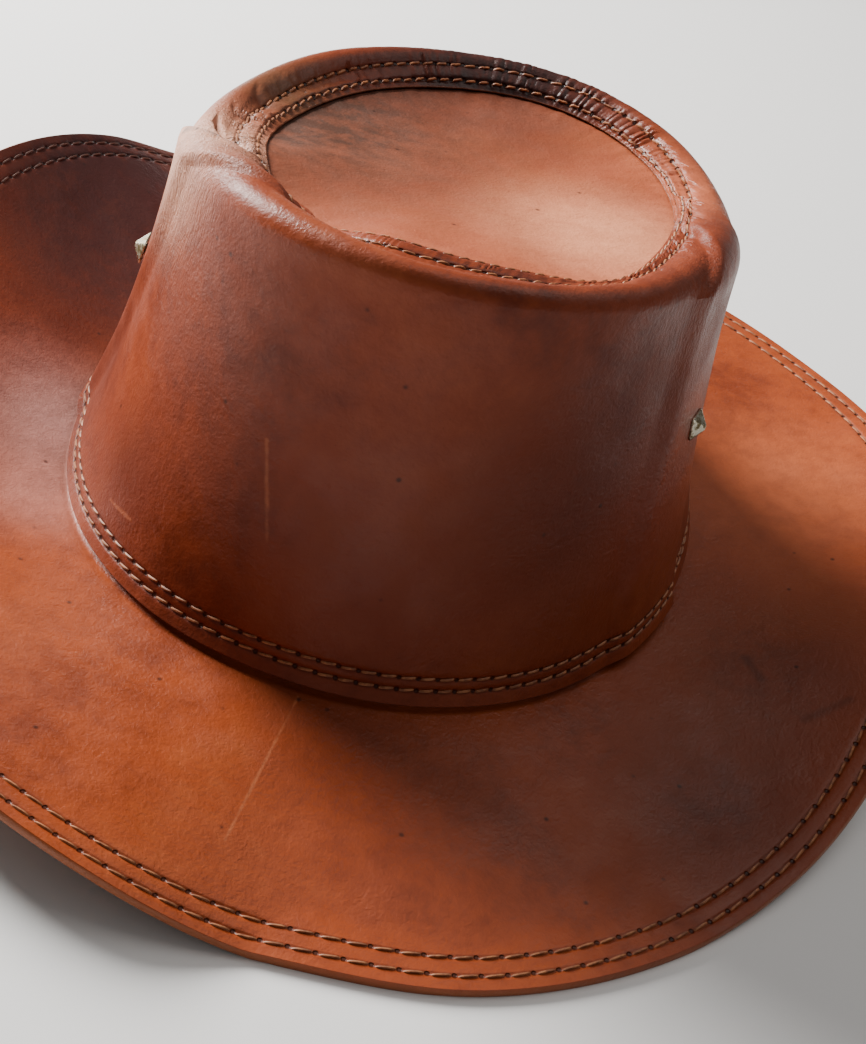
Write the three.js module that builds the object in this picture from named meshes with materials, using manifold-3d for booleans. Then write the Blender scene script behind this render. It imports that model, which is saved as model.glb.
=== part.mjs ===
// A leather hat: two crown panels, a top panel, a brim with its collar, and two side studs.
// Millimetres, +Z up, the front of the hat towards -Y and its right side in a front view towards +X.
// The origin is on the floor under the middle of the brim. An azimuth is in degrees: 0 is +X, -90 is the front.
import * as THREE from "three";
import { mergeVertices } from "three/addons/utils/BufferGeometryUtils.js";
import Module from "manifold-3d";

// Leather and the gap that pieces keep
const CROWN_LEATHER = 1.8;
const BRIM_LEATHER = 2.4;
const GAP = 0.35;

// Ovals in plan
const FOOT_OVAL = { halfWidth: 87, halfLength: 102, x: -2.3, y: -1.4 };
const RIM_OVAL = { halfWidth: 71, halfLength: 86, x: -2.6, y: -3.4 };
const TOP_OVAL = { halfWidth: 53, halfLength: 68.6, x: -2.3, y: 0 };

// Where the top's outline goes out past its oval, each as a bell of the azimuth: its front right corner,
// and its front
const TOP_BULGES = [
  { azimuth: -36, width: 20, reach: 5.5 },
  { azimuth: -82, width: 24, reach: 4.0 },
];

// Crown by azimuth. foot: height of the upper stitch row at the wall's foot. rim: height of the rolled rim.
// roll: outer radius of the roll. turn: how far round the roll the leather goes before the flange.
// ledge: height of the top panel at the flange's raw edge.
const CROWN_ROWS = [
  { azimuth: -90, foot: 19.1, rim: 123.0, roll: 4.5, turn: 130, ledge: 118.8 },
  { azimuth: -60, foot: 17.5, rim: 122.5, roll: 4.5, turn: 120, ledge: 117.8 },
  { azimuth: -30, foot: 14.5, rim: 118.5, roll: 5.2, turn: 130, ledge: 112.6 },
  { azimuth: 0, foot: 15.6, rim: 113.5, roll: 7.0, turn: 130, ledge: 107.5 },
  { azimuth: 30, foot: 17.5, rim: 107.5, roll: 6.5, turn: 135, ledge: 102.3 },
  { azimuth: 60, foot: 19.5, rim: 106.0, roll: 5.0, turn: 122, ledge: 99.8 },
  { azimuth: 90, foot: 20.5, rim: 104.6, roll: 4.0, turn: 118, ledge: 98.2 },
  { azimuth: 120, foot: 19.0, rim: 103.3, roll: 4.0, turn: 118, ledge: 96.8 },
  { azimuth: 150, foot: 15.5, rim: 104.0, roll: 4.5, turn: 130, ledge: 97.3 },
  { azimuth: 180, foot: 12.9, rim: 103.8, roll: 5.0, turn: 128, ledge: 99.0 },
  { azimuth: 195, foot: 12.3, rim: 105.8, roll: 5.5, turn: 125, ledge: 102.0 },
  { azimuth: 210, foot: 12.1, rim: 111.0, roll: 6.0, turn: 130, ledge: 106.5 },
  { azimuth: 240, foot: 16.1, rim: 119.8, roll: 6.5, turn: 140, ledge: 109.0 },
  { azimuth: 256, foot: 17.9, rim: 122.0, roll: 5.5, turn: 136, ledge: 113.0 },
];

// Brim by azimuth. edge: height of the underside at the edge, below zero where the floor flattens it.
// width: leather from the crown's raw edge to the brim's edge. dip: how far the sheet hangs below a straight
// line.
const BRIM_ROWS = [
  { azimuth: -90, edge: 11.5, width: 78.2, dip: 1.5 },
  { azimuth: -76, edge: -0.6, width: 75.2, dip: 0.6 },
  { azimuth: -60, edge: -0.8, width: 78.9, dip: 0.4 },
  { azimuth: -45, edge: -0.8, width: 78.4, dip: 0.4 },
  { azimuth: -30, edge: 2.5, width: 76.0, dip: 1.0 },
  { azimuth: 0, edge: 20.5, width: 73.0, dip: 3.5 },
  { azimuth: 30, edge: 18.5, width: 77.0, dip: 3.0 },
  { azimuth: 60, edge: 4.0, width: 80.5, dip: 1.0 },
  { azimuth: 80, edge: -0.8, width: 81.5, dip: 0.4 },
  { azimuth: 125, edge: -0.8, width: 80.0, dip: 0.4 },
  { azimuth: 138, edge: 5.5, width: 79.0, dip: 1.2 },
  { azimuth: 150, edge: 20.0, width: 78.3, dip: 2.5 },
  { azimuth: 180, edge: 35.5, width: 75.0, dip: 4.0 },
  { azimuth: 210, edge: 29.0, width: 77.0, dip: 3.5 },
  { azimuth: 240, edge: 20.5, width: 79.5, dip: 2.5 },
];

// The wall's hem below the upper stitch row: how far down, and how far it flares outwards
const HEM_ROWS = [
  { drop: 7.0, flare: 2.5 },
  { drop: 3.5, flare: 0.9 },
  { drop: 0, flare: 0 },
];
const WALL_SHARES = [0.3, 0.62, 0.88];
const WALL_DIP = 2.5;
const WALL_LEAN = 10;
const ROLL_STEPS = 4;
const FILLET_SHARES = [0.5, 1];
const FLANGE_SHARES = [0.5, 1];
const FLANGE_START = 2;
const FLANGE_START_LIMIT = 0.5;
const FILLET_LIMIT = 0.75;

// Gathers of the flange: columns of leather that stand proud in turn
const COLUMN_STEP = 3;
const GATHER_DEPTH = 0.8;

// Side seams, where the front panel lies over the back one: azimuth of its raw end by place on the profile,
// from the wall's foot (0) and the roll's start (1) to the roll's end (2) and the flange's raw edge (3)
const SEAM_ROWS = [
  { place: 0, right: -4, left: 180 },
  { place: 1, right: 3, left: 201 },
  { place: 2, right: 24, left: 225 },
  { place: 3, right: 27, left: 231 },
];

// How far the back panel goes on under the front one, the ramp beside the lap, and the angles from an end
// between which the columns turn upright
const LAP = 12;
const LAP_RAMP = 6;
const SLANT = { full: 24, none: 110 };

// Collar and bend of the brim
const COLLAR_SHARE = 0.07;
const COLLAR_GAP = 0.6;
const BEND_RADIUS = 2.5;
const BEND_STEPS = 3;
const SHEET_STEPS = 5;
const BRIM_COLUMNS = 60;

// Top panel
const TOP_COLUMNS = 56;
const TOP_RINGS = [0.5, 1];
const TOP_MARGIN = 2;
const TOP_DISH = 2.5;

// Studs: a square pyramid with a flat tip, and a plain post through the leather. WELD joins points
// that lie closer than it.
const STUD = { side: 6.8, height: 3.2, tip: 1.2, post: 1.1, hole: 1.45, length: 6, wallShare: 0.56 };
const STUD_AZIMUTHS = { stud_left: 197, stud_right: -5.5 };
const POST_SIDES = 12;
const WELD = 1e-4;

const wasm = await Module();
wasm.setup();

const radians = THREE.MathUtils.degToRad;
const UP = new THREE.Vector3(0, 0, 1);

// Value of a table's column at an azimuth. Cubic pieces join the rows, and the slope at each row
// is the mean of the slopes beside it, weighted towards the nearer row.
function around(rows, column, azimuth) {
  const count = rows.length;
  const turned = THREE.MathUtils.euclideanModulo(azimuth - rows[0].azimuth, 360);
  const wrapped = (i) => rows[THREE.MathUtils.euclideanModulo(i, count)];
  const angle = (i) => wrapped(i).azimuth - rows[0].azimuth + 360 * Math.floor(i / count);
  const value = (i) => wrapped(i)[column];
  const span = (i) => angle(i + 1) - angle(i);
  const slope = (i) => (value(i + 1) - value(i)) / span(i);
  const tangent = (i) => (slope(i - 1) * span(i) + slope(i) * span(i - 1)) / (span(i - 1) + span(i));
  let i = count - 1;
  while (angle(i) > turned) i -= 1;
  const t = (turned - angle(i)) / span(i);
  const rise = t * t * (3 - 2 * t);
  const lead = t * (1 - t) * (1 - t) * tangent(i) * span(i);
  const trail = t * t * (t - 1) * tangent(i + 1) * span(i);
  return value(i) + (value(i + 1) - value(i)) * rise + lead + trail;
}

function onOval(oval, azimuth, height) {
  const a = radians(azimuth);
  return new THREE.Vector3(oval.x + oval.halfWidth * Math.cos(a), oval.y + oval.halfLength * Math.sin(a), height);
}

// Point on the top's outline (share 1) or farther in
function onTop(azimuth, share, height) {
  const { halfWidth, halfLength } = TOP_OVAL;
  const oval = { ...TOP_OVAL, halfWidth: halfWidth * share, halfLength: halfLength * share };
  const reach = TOP_BULGES.reduce((sum, bulge) => {
    const turned = THREE.MathUtils.euclideanModulo(azimuth - bulge.azimuth + 180, 360) - 180;
    return sum + bulge.reach * Math.exp(-((turned / bulge.width) ** 2));
  }, 0);
  return shifted(onOval(oval, azimuth, height), outward(azimuth), reach * share * share, 0);
}

// Level direction straight out of the wall's foot
function outward(azimuth) {
  const a = radians(azimuth);
  return new THREE.Vector3(Math.cos(a) / FOOT_OVAL.halfWidth, Math.sin(a) / FOOT_OVAL.halfLength, 0).normalize();
}

// A point moved out by so much and up by so much
function shifted(point, out, outBy, upBy) {
  return point.clone().addScaledVector(out, outBy).addScaledVector(UP, upBy);
}

// Point on the straight part of the wall, from its foot (0) to the roll (1)
function wallPoint(azimuth, share) {
  const out = outward(azimuth);
  const foot = onOval(FOOT_OVAL, azimuth, around(CROWN_ROWS, "foot", azimuth));
  const roll = around(CROWN_ROWS, "roll", azimuth);
  const lean = radians(WALL_LEAN);
  const rim = onOval(RIM_OVAL, azimuth, around(CROWN_ROWS, "rim", azimuth) - roll);
  const top = shifted(rim, out, roll * (Math.cos(lean) - 1), roll * Math.sin(lean));
  return foot.lerp(top, share).addScaledVector(out, -4 * WALL_DIP * share * (1 - share));
}

// Outer face of the crown at an azimuth, from the hem's raw edge to the flange's raw edge.
// Each row is a point, how much of the gathers it takes, and its place in the table of the seams.
function crownProfile(azimuth) {
  const out = outward(azimuth);
  const foot = onOval(FOOT_OVAL, azimuth, around(CROWN_ROWS, "foot", azimuth));
  const rows = HEM_ROWS.map(({ drop, flare }) => ({ point: shifted(foot, out, flare, -drop), gather: 0, place: 0 }));
  WALL_SHARES.forEach((share) => rows.push({ point: wallPoint(azimuth, share), gather: 0, place: share }));

  const roll = around(CROWN_ROWS, "roll", azimuth);
  const turn = around(CROWN_ROWS, "turn", azimuth);
  const rim = onOval(RIM_OVAL, azimuth, around(CROWN_ROWS, "rim", azimuth) - roll);
  const centre = shifted(rim, out, -roll, 0);
  for (let k = 0; k <= ROLL_STEPS; k += 1) {
    const a = radians(WALL_LEAN + ((turn - WALL_LEAN) * k) / ROLL_STEPS);
    const point = shifted(centre, out, roll * Math.cos(a), roll * Math.sin(a));
    rows.push({ point, gather: Math.max(0, k / ROLL_STEPS - 0.5), place: 1 + k / ROLL_STEPS });
  }

  const ledge = around(CROWN_ROWS, "ledge", azimuth) + GAP + CROWN_LEATHER;
  const edge = onTop(azimuth, 1, ledge);
  const end = rows[rows.length - 1].point;
  const a = radians(turn);
  const across = end.clone().sub(edge).dot(out);
  const run = Math.min((end.z - edge.z) / -Math.cos(a), (FILLET_LIMIT * across) / Math.sin(a));
  const corner = shifted(end, out, -run * Math.sin(a), run * Math.cos(a));
  const start = corner.clone().lerp(edge, Math.min(FLANGE_START / corner.distanceTo(edge), FLANGE_START_LIMIT));
  const fillet = new THREE.QuadraticBezierCurve3(end, corner, start);
  FILLET_SHARES.forEach((share) => rows.push({ point: fillet.getPoint(share), gather: 1, place: 2 + share / 2 }));
  FLANGE_SHARES.forEach((share) => {
    rows.push({ point: start.clone().lerp(edge, share), gather: 1 - share / 2, place: (5 + share) / 2 });
  });
  return rows;
}

// Azimuth of the front panel's raw end on a side, at a place on the profile
function seamAzimuth(side, place) {
  const i = Math.min(Math.floor(place), SEAM_ROWS.length - 2);
  return THREE.MathUtils.lerp(SEAM_ROWS[i][side], SEAM_ROWS[i + 1][side], place - i);
}

// Unit normals of a grid of points, columns of profile points that run round the hat anticlockwise.
// A profile that runs up the outside has its normals facing out.
function gridNormals(grid, closed) {
  const last = grid.length - 1;
  const beside = (j) => (closed ? THREE.MathUtils.euclideanModulo(j, grid.length) : Math.min(Math.max(j, 0), last));
  return grid.map((column, j) =>
    column.map((_, i) => {
      const round = grid[beside(j + 1)][i].clone().sub(grid[beside(j - 1)][i]);
      const along = column[Math.min(i + 1, column.length - 1)].clone().sub(column[Math.max(i - 1, 0)]);
      return round.cross(along).normalize();
    }),
  );
}

// Closed mesh of a sheet between two grids of the same size, the outer one facing out
function sheetGeometry(outer, inner, closed) {
  const loops = outer.map((column, j) => [...column, ...inner[j].slice().reverse()]);
  const count = loops[0].length;
  const positions = loops.flat().flatMap((p) => [p.x, p.y, p.z]);
  const index = [];
  const steps = closed ? loops.length : loops.length - 1;
  for (let j = 0; j < steps; j += 1) {
    const here = j * count;
    const next = ((j + 1) % loops.length) * count;
    for (let i = 0; i < count; i += 1) {
      const up = (i + 1) % count;
      index.push(here + i, next + i, next + up, here + i, next + up, here + up);
    }
  }
  const cap = (start, flip) => {
    for (let i = 0; i < outer[0].length - 1; i += 1) {
      const a = start + i;
      const b = start + i + 1;
      const c = start + count - 2 - i;
      const d = start + count - 1 - i;
      index.push(...(flip ? [a, c, b, a, d, c] : [a, b, c, a, c, d]));
    }
  };
  if (!closed) {
    cap(0, false);
    cap((loops.length - 1) * count, true);
  }
  const geometry = new THREE.BufferGeometry();
  geometry.setAttribute("position", new THREE.Float32BufferAttribute(positions, 3));
  return geometry.setIndex(index);
}

// How far the front panel is raised at an angle from its raw end: fully to one column past the lap,
// then down a ramp
function lapRise(fromEnd) {
  return (CROWN_LEATHER + GAP) * (1 - THREE.MathUtils.smoothstep(fromEnd - LAP - COLUMN_STEP, 0, LAP_RAMP));
}

// A crown panel from one end to another. Each end has its azimuth at a place, and the columns near it
// slant as it does. The panel that lies over the other is raised at both ends.
function crownPanel(start, end, raised) {
  const from = start(1);
  const to = end(1);
  const fade = (fromEnd) => 1 - THREE.MathUtils.smoothstep(fromEnd, SLANT.full, SLANT.none);
  const rows = crownProfile(0);
  const column = (azimuth) =>
    rows.map(({ place }, i) => {
      const slanted = (start(place) - from) * fade(azimuth - from) + (end(place) - to) * fade(to - azimuth);
      return crownProfile(azimuth + slanted)[i].point;
    });
  const azimuths = [];
  for (let k = -1; k * COLUMN_STEP <= to - from + COLUMN_STEP; k += 1) azimuths.push(from + k * COLUMN_STEP);
  const smooth = azimuths.map(column);
  const normals = gridNormals(smooth, false).slice(1, -1);
  const outer = smooth.slice(1, -1).map((points, j) => {
    const azimuth = azimuths[j + 1];
    const proud = Math.round(azimuth / COLUMN_STEP) % 2 === 0 ? GATHER_DEPTH : 0;
    const rise = raised ? lapRise(Math.min(azimuth - from, to - azimuth)) : 0;
    return points.map((p, i) => p.clone().addScaledVector(normals[j][i], rise + proud * rows[i].gather));
  });
  const inner = outer.map((column, j) =>
    column.map((p, i) => p.clone().addScaledVector(normals[j][i], -CROWN_LEATHER)),
  );
  return sheetGeometry(outer, inner, false);
}

// Upper face of the brim at an azimuth, from its edge in to the bend and up the collar
function brimProfile(azimuth) {
  const out = outward(azimuth);
  const foot = onOval(FOOT_OVAL, azimuth, around(CROWN_ROWS, "foot", azimuth));
  const inset = -(CROWN_LEATHER + COLLAR_GAP);
  const hem = HEM_ROWS[0];
  const above = HEM_ROWS[1];
  const flare = Math.atan2(hem.flare - above.flare, hem.drop - above.drop);
  const touch = shifted(foot, out, hem.flare + inset * Math.cos(flare), -hem.drop + inset * Math.sin(flare));
  const centre = shifted(touch, out, BEND_RADIUS * Math.cos(flare), BEND_RADIUS * Math.sin(flare));

  const rise = around(BRIM_ROWS, "edge", azimuth) + BRIM_LEATHER - centre.z;
  const width = around(BRIM_ROWS, "width", azimuth);
  const reach = Math.sqrt(width * width - (rise + hem.drop) ** 2) + hem.flare - centre.clone().sub(foot).dot(out);
  const straight = Math.sqrt(reach * reach + rise * rise - BEND_RADIUS * BEND_RADIUS);
  const slope = Math.atan2(rise, reach) + Math.atan2(BEND_RADIUS, straight);
  const dip = around(BRIM_ROWS, "dip", azimuth);

  const bendEnd = shifted(centre, out, BEND_RADIUS * Math.sin(slope), -BEND_RADIUS * Math.cos(slope));
  const points = [];
  for (let k = SHEET_STEPS; k >= 1; k -= 1) {
    const t = k / SHEET_STEPS;
    const sunk = -4 * dip * t * (1 - t);
    const along = straight * t;
    points.push(shifted(bendEnd, out, along * Math.cos(slope), along * Math.sin(slope) + sunk));
  }
  for (let k = BEND_STEPS; k >= 0; k -= 1) {
    const a = (k / BEND_STEPS) * (Math.PI / 2 - flare + slope) - Math.PI + flare;
    points.push(shifted(centre, out, BEND_RADIUS * Math.cos(a), BEND_RADIUS * Math.sin(a)));
  }
  const lean = Math.atan2(hem.flare, hem.drop);
  points.push(shifted(foot, out, above.flare + inset * Math.cos(lean), -above.drop + inset * Math.sin(lean)));
  points.push(shifted(foot, out, inset, 0));
  points.push(shifted(wallPoint(azimuth, COLLAR_SHARE), out, inset, 0));
  return points;
}

// The brim, with its underside flattened where the floor holds it up
function brimSheet() {
  const azimuths = Array.from({ length: BRIM_COLUMNS }, (_, j) => (360 * j) / BRIM_COLUMNS);
  const upper = azimuths.map(brimProfile);
  const normals = gridNormals(upper, true);
  const lower = upper.map((column, j) =>
    column.map((p, i) => p.clone().addScaledVector(normals[j][i], -BRIM_LEATHER)),
  );
  upper.flat().forEach((p) => p.setZ(Math.max(p.z, BRIM_LEATHER)));
  lower.flat().forEach((p) => p.setZ(Math.max(p.z, 0)));
  return sheetGeometry(upper, lower, true);
}

// Height of the top panel's upper face at a share of the way from its middle to the flange's raw edge.
// The part that tilts the panel grows evenly, and the part that warps it grows as the square.
function topHeight(azimuth, share) {
  const here = around(CROWN_ROWS, "ledge", azimuth);
  const across = around(CROWN_ROWS, "ledge", azimuth + 180);
  const middle = CROWN_ROWS.reduce((sum, row) => sum + row.ledge, 0) / CROWN_ROWS.length;
  const within = Math.min(share, 1);
  const tilt = ((here - across) / 2) * within;
  const warp = ((here + across) / 2 - middle) * within * within;
  return middle + tilt + warp - TOP_DISH * (1 - within * within);
}

// The top panel: rings of points round its middle, and a margin that runs on under the flange
function topPanel() {
  const edgeShare = 1 + TOP_MARGIN / TOP_OVAL.halfWidth;
  const shares = [...TOP_RINGS, edgeShare];
  const positions = [];
  const index = [];
  for (const drop of [0, CROWN_LEATHER]) {
    positions.push(TOP_OVAL.x, TOP_OVAL.y, topHeight(0, 0) - drop);
    shares.forEach((share) => {
      for (let j = 0; j < TOP_COLUMNS; j += 1) {
        const azimuth = (360 * j) / TOP_COLUMNS;
        positions.push(...onTop(azimuth, share, topHeight(azimuth, share) - drop));
      }
    });
  }
  const below = positions.length / 6;
  const at = (ring, j) => 1 + ring * TOP_COLUMNS + (j % TOP_COLUMNS);
  const both = (a, b, c) => index.push(a, b, c, below + a, below + c, below + b);
  for (let j = 0; j < TOP_COLUMNS; j += 1) {
    both(0, at(0, j), at(0, j + 1));
    for (let ring = 0; ring < shares.length - 1; ring += 1) {
      both(at(ring, j), at(ring + 1, j), at(ring + 1, j + 1));
      both(at(ring, j), at(ring + 1, j + 1), at(ring, j + 1));
    }
    const a = at(shares.length - 1, j);
    const b = at(shares.length - 1, j + 1);
    index.push(a, below + a, below + b, a, below + b, b);
  }
  const geometry = new THREE.BufferGeometry();
  geometry.setAttribute("position", new THREE.Float32BufferAttribute(positions, 3));
  return geometry.setIndex(index);
}

// Closed geometry to solid, and back
function solidOf(geometry) {
  const plain = geometry.clone();
  plain.deleteAttribute("normal");
  plain.deleteAttribute("uv");
  const merged = mergeVertices(plain, WELD);
  return new wasm.Manifold(
    new wasm.Mesh({
      numProp: 3,
      vertProperties: new Float32Array(merged.attributes.position.array),
      triVerts: new Uint32Array(merged.index.array),
    }),
  );
}

function geometryOf(solid) {
  const { vertProperties, triVerts } = solid.getMesh();
  const geometry = new THREE.BufferGeometry();
  geometry.setAttribute("position", new THREE.BufferAttribute(vertProperties, 3));
  geometry.setIndex(new THREE.BufferAttribute(triVerts, 1));
  geometry.computeVertexNormals();
  return geometry;
}

// Frame of a stud: the middle of its base on the outer panel, with local +Z out of the wall
function studFrame(azimuth) {
  const reach = 0.05;
  const point = wallPoint(azimuth, STUD.wallShare);
  const above = wallPoint(azimuth, STUD.wallShare + reach);
  const up = above.sub(wallPoint(azimuth, STUD.wallShare - reach)).normalize();
  const along = wallPoint(azimuth + 1, STUD.wallShare).sub(wallPoint(azimuth - 1, STUD.wallShare)).normalize();
  const out = along.clone().cross(up).normalize();
  const base = point.addScaledVector(out, CROWN_LEATHER + 2 * GAP);
  return new THREE.Matrix4().makeBasis(up.clone().cross(out), up, out).setPosition(base);
}

// A round bar along local Z, from one height to another
function bar(radius, from, to) {
  const geometry = new THREE.CylinderGeometry(radius, radius, to - from, POST_SIDES);
  return geometry.rotateX(Math.PI / 2).translate(0, 0, (from + to) / 2);
}

function studSolid(frame) {
  const corner = STUD.side / Math.SQRT2;
  const tip = STUD.tip / Math.SQRT2;
  const head = new THREE.CylinderGeometry(tip, corner, STUD.height, 4);
  head.rotateX(Math.PI / 2).rotateZ(Math.PI / 4).translate(0, 0, STUD.height / 2 + GAP / 2);
  const post = bar(STUD.post, -STUD.length, STUD.height / 2);
  return solidOf(head.applyMatrix4(frame)).add(solidOf(post.applyMatrix4(frame)));
}

function studHole(frame) {
  return solidOf(bar(STUD.hole, -2 * STUD.length, STUD.length).applyMatrix4(frame));
}

// Colour, roughness and metalness of each material
const leather = (color, roughness) => new THREE.MeshStandardMaterial({ color, roughness, metalness: 0 });
const WALL_LEATHER = leather(0x8a4a2c, 0.42);
const TOP_LEATHER = leather(0xb87452, 0.5);
const BRIM_HIDE = leather(0x7a3c22, 0.45);
const STUD_METAL = new THREE.MeshStandardMaterial({ color: 0x9a927c, roughness: 0.3, metalness: 1 });

const frames = Object.entries(STUD_AZIMUTHS).map(([name, azimuth]) => ({ name, frame: studFrame(azimuth) }));
const drilled = (geometry) =>
  geometryOf(frames.reduce((solid, { frame }) => solid.subtract(studHole(frame)), solidOf(geometry)));

const hat = new THREE.Group();
function addPiece(name, geometry, material) {
  const mesh = new THREE.Mesh(geometry, material);
  mesh.name = name;
  hat.add(mesh);
}

const right = (place) => seamAzimuth("right", place);
const left = (place) => seamAzimuth("left", place);
addPiece("crown_front", drilled(crownPanel(left, (place) => right(place) + 360, true)), WALL_LEATHER);
const underRight = (place) => right(place) - LAP;
const underLeft = (place) => left(place) + LAP;
addPiece("crown_back", drilled(crownPanel(underRight, underLeft, false)), WALL_LEATHER);
addPiece("crown_tip", topPanel(), TOP_LEATHER);
addPiece("brim", brimSheet(), BRIM_HIDE);
frames.forEach(({ name, frame }) => addPiece(name, geometryOf(studSolid(frame)), STUD_METAL));

export default hat;
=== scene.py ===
"""A leather hat, dressed over its solids: leather panels, gathers, stitches, studs and a soft studio.

Lengths in this file are millimetres and angles degrees, and every mesh is written in metres.
+Z is up, the front of the hat faces -Y, and an azimuth of 0 is +X.
"""

import logging
import math
from dataclasses import dataclass, field
from enum import Enum
from typing import Sequence

import bpy
import numpy as np
from mathutils import Matrix, Vector


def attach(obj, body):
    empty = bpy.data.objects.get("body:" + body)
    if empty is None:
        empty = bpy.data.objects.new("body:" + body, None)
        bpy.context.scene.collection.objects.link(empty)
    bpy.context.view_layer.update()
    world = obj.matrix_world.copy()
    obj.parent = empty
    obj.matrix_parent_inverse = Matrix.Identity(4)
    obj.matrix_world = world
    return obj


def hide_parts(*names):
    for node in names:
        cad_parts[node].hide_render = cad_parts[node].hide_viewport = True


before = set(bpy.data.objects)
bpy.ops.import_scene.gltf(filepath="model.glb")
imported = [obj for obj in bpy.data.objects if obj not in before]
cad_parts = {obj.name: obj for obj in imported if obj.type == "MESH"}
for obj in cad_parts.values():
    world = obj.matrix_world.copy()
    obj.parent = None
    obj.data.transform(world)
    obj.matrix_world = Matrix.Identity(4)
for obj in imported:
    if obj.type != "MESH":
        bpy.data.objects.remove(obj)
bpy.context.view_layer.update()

Array = np.ndarray
Colour = tuple[float, float, float]
Socket = bpy.types.NodeSocket
Mask = tuple[float, float, float, float]  # two values of a source, and the mask at each

MM = 0.001
NO_SEWING = 1000.0
WEAR_SPAN = (0.3, 0.7)
log = logging.getLogger("hat")


class End(Enum):
    """The end of a sheet's profile that a distance is measured from."""

    FIRST = "first"
    LAST = "last"


class Face(Enum):
    """The face of a sheet that a row of stitches lies on."""

    GRAIN = 1
    FLESH = -1


class Side(Enum):
    """A side seam of the crown, by its column in the table of the seams."""

    RIGHT = "right"
    LEFT = "left"


# ---------------------------------------------------------------- tables


@dataclass(frozen=True)
class CrownRow:
    """Crown by azimuth: stitch row at the foot, rim, roll radius, turn of the roll, ledge of the top."""

    azimuth: float
    foot: float
    rim: float
    roll: float
    turn: float
    ledge: float


@dataclass(frozen=True)
class BrimRow:
    """Brim by azimuth: underside at the edge, width of leather, and how far the sheet hangs."""

    azimuth: float
    edge: float
    width: float
    dip: float


@dataclass(frozen=True)
class SeamRow:
    """Front panel's raw ends by place: the wall's foot 0, the roll's start 1 and end 2, the raw edge 3."""

    place: float
    right: float
    left: float


@dataclass(frozen=True)
class Bulge:
    """Where the top's outline goes out past its oval, as a bell of the azimuth."""

    azimuth: float
    width: float
    reach: float


@dataclass(frozen=True)
class GatherRow:
    """Gathers by azimuth: height of the pleats on the flange, and of the wrinkles below the rim."""

    azimuth: float
    pleat: float
    wrinkle: float


@dataclass(frozen=True)
class Wave:
    """A sine wave round the hat: whole turns in a lap, height, and phase in radians."""

    turns: int
    height: float
    phase: float


@dataclass(frozen=True)
class Fold:
    """One crease on the crown: azimuth and distance from the flange's raw edge at both its ends."""

    azimuth: float
    start: float
    end_azimuth: float
    end: float
    width: float
    height: float


CROWN_ROWS = (
    CrownRow(-90, 19.1, 123.0, 4.5, 130, 118.8),
    CrownRow(-60, 17.5, 122.5, 4.5, 120, 117.8),
    CrownRow(-30, 14.5, 118.5, 5.2, 130, 112.6),
    CrownRow(0, 15.6, 113.5, 7.0, 130, 107.5),
    CrownRow(30, 17.5, 107.5, 6.5, 135, 102.3),
    CrownRow(60, 19.5, 106.0, 5.0, 122, 99.8),
    CrownRow(90, 20.5, 104.6, 4.0, 118, 98.2),
    CrownRow(120, 19.0, 103.3, 4.0, 118, 96.8),
    CrownRow(150, 15.5, 104.0, 4.5, 130, 97.3),
    CrownRow(180, 12.9, 103.8, 5.0, 128, 99.0),
    CrownRow(195, 12.3, 105.8, 5.5, 125, 102.0),
    CrownRow(210, 12.1, 111.0, 6.0, 130, 106.5),
    CrownRow(240, 16.1, 119.8, 6.5, 140, 109.0),
    CrownRow(256, 17.9, 122.0, 5.5, 136, 113.0),
)

BRIM_ROWS = (
    BrimRow(-90, 11.5, 78.2, 1.5),
    BrimRow(-76, -0.6, 75.2, 0.6),
    BrimRow(-60, -0.8, 78.9, 0.4),
    BrimRow(-45, -0.8, 78.4, 0.4),
    BrimRow(-30, 2.5, 76.0, 1.0),
    BrimRow(0, 20.5, 73.0, 3.5),
    BrimRow(30, 18.5, 77.0, 3.0),
    BrimRow(60, 4.0, 80.5, 1.0),
    BrimRow(80, -0.8, 81.5, 0.4),
    BrimRow(125, -0.8, 80.0, 0.4),
    BrimRow(138, 5.5, 79.0, 1.2),
    BrimRow(150, 20.0, 78.3, 2.5),
    BrimRow(180, 35.5, 75.0, 4.0),
    BrimRow(210, 29.0, 77.0, 3.5),
    BrimRow(240, 20.5, 79.5, 2.5),
)

SEAM_ROWS = (
    SeamRow(0, -4, 180),
    SeamRow(1, 3, 201),
    SeamRow(2, 24, 225),
    SeamRow(3, 27, 231),
)

TOP_BULGES = (
    Bulge(-36, 20, 5.5),
    Bulge(-82, 24, 4.0),
)

GATHER_ROWS = (
    GatherRow(-90, 0.25, 0.05),
    GatherRow(-45, 0.30, 0.08),
    GatherRow(-10, 0.60, 0.15),
    GatherRow(20, 0.75, 0.15),
    GatherRow(50, 0.70, 0.10),
    GatherRow(80, 0.55, 0.08),
    GatherRow(120, 0.50, 0.08),
    GatherRow(160, 0.60, 0.12),
    GatherRow(195, 0.80, 0.30),
    GatherRow(215, 0.65, 0.35),
    GatherRow(240, 0.35, 0.18),
)

LOWER_FOLDS = (
    Fold(218, 3.0, 195, 25.0, 4.5, -2.8),
    Fold(192, 4.0, 187, 22.0, 1.6, -0.6),
    Fold(180, 6.0, 175, 22.0, 1.6, -0.6),
    Fold(30, 4.0, 14, 20.0, 2.0, -0.9),
    Fold(37, 5.0, 31, 18.0, 1.4, -0.5),
)

UPPER_FOLDS = (
    Fold(230, 5.0, 204, 26.0, 4.0, 1.3),
    Fold(238, 8.0, 222, 24.0, 1.6, -0.5),
    Fold(232, 7.0, 214, 30.0, 1.5, -0.4),
    Fold(18, 4.0, 8, 18.0, 1.5, -0.6),
    Fold(8, 3.0, 1, 17.0, 1.4, -0.7),
    Fold(-4, 3.0, -8, 19.0, 1.4, -0.6),
    Fold(-17, 1.0, -19, 15.0, 1.3, -0.9),
)

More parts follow.
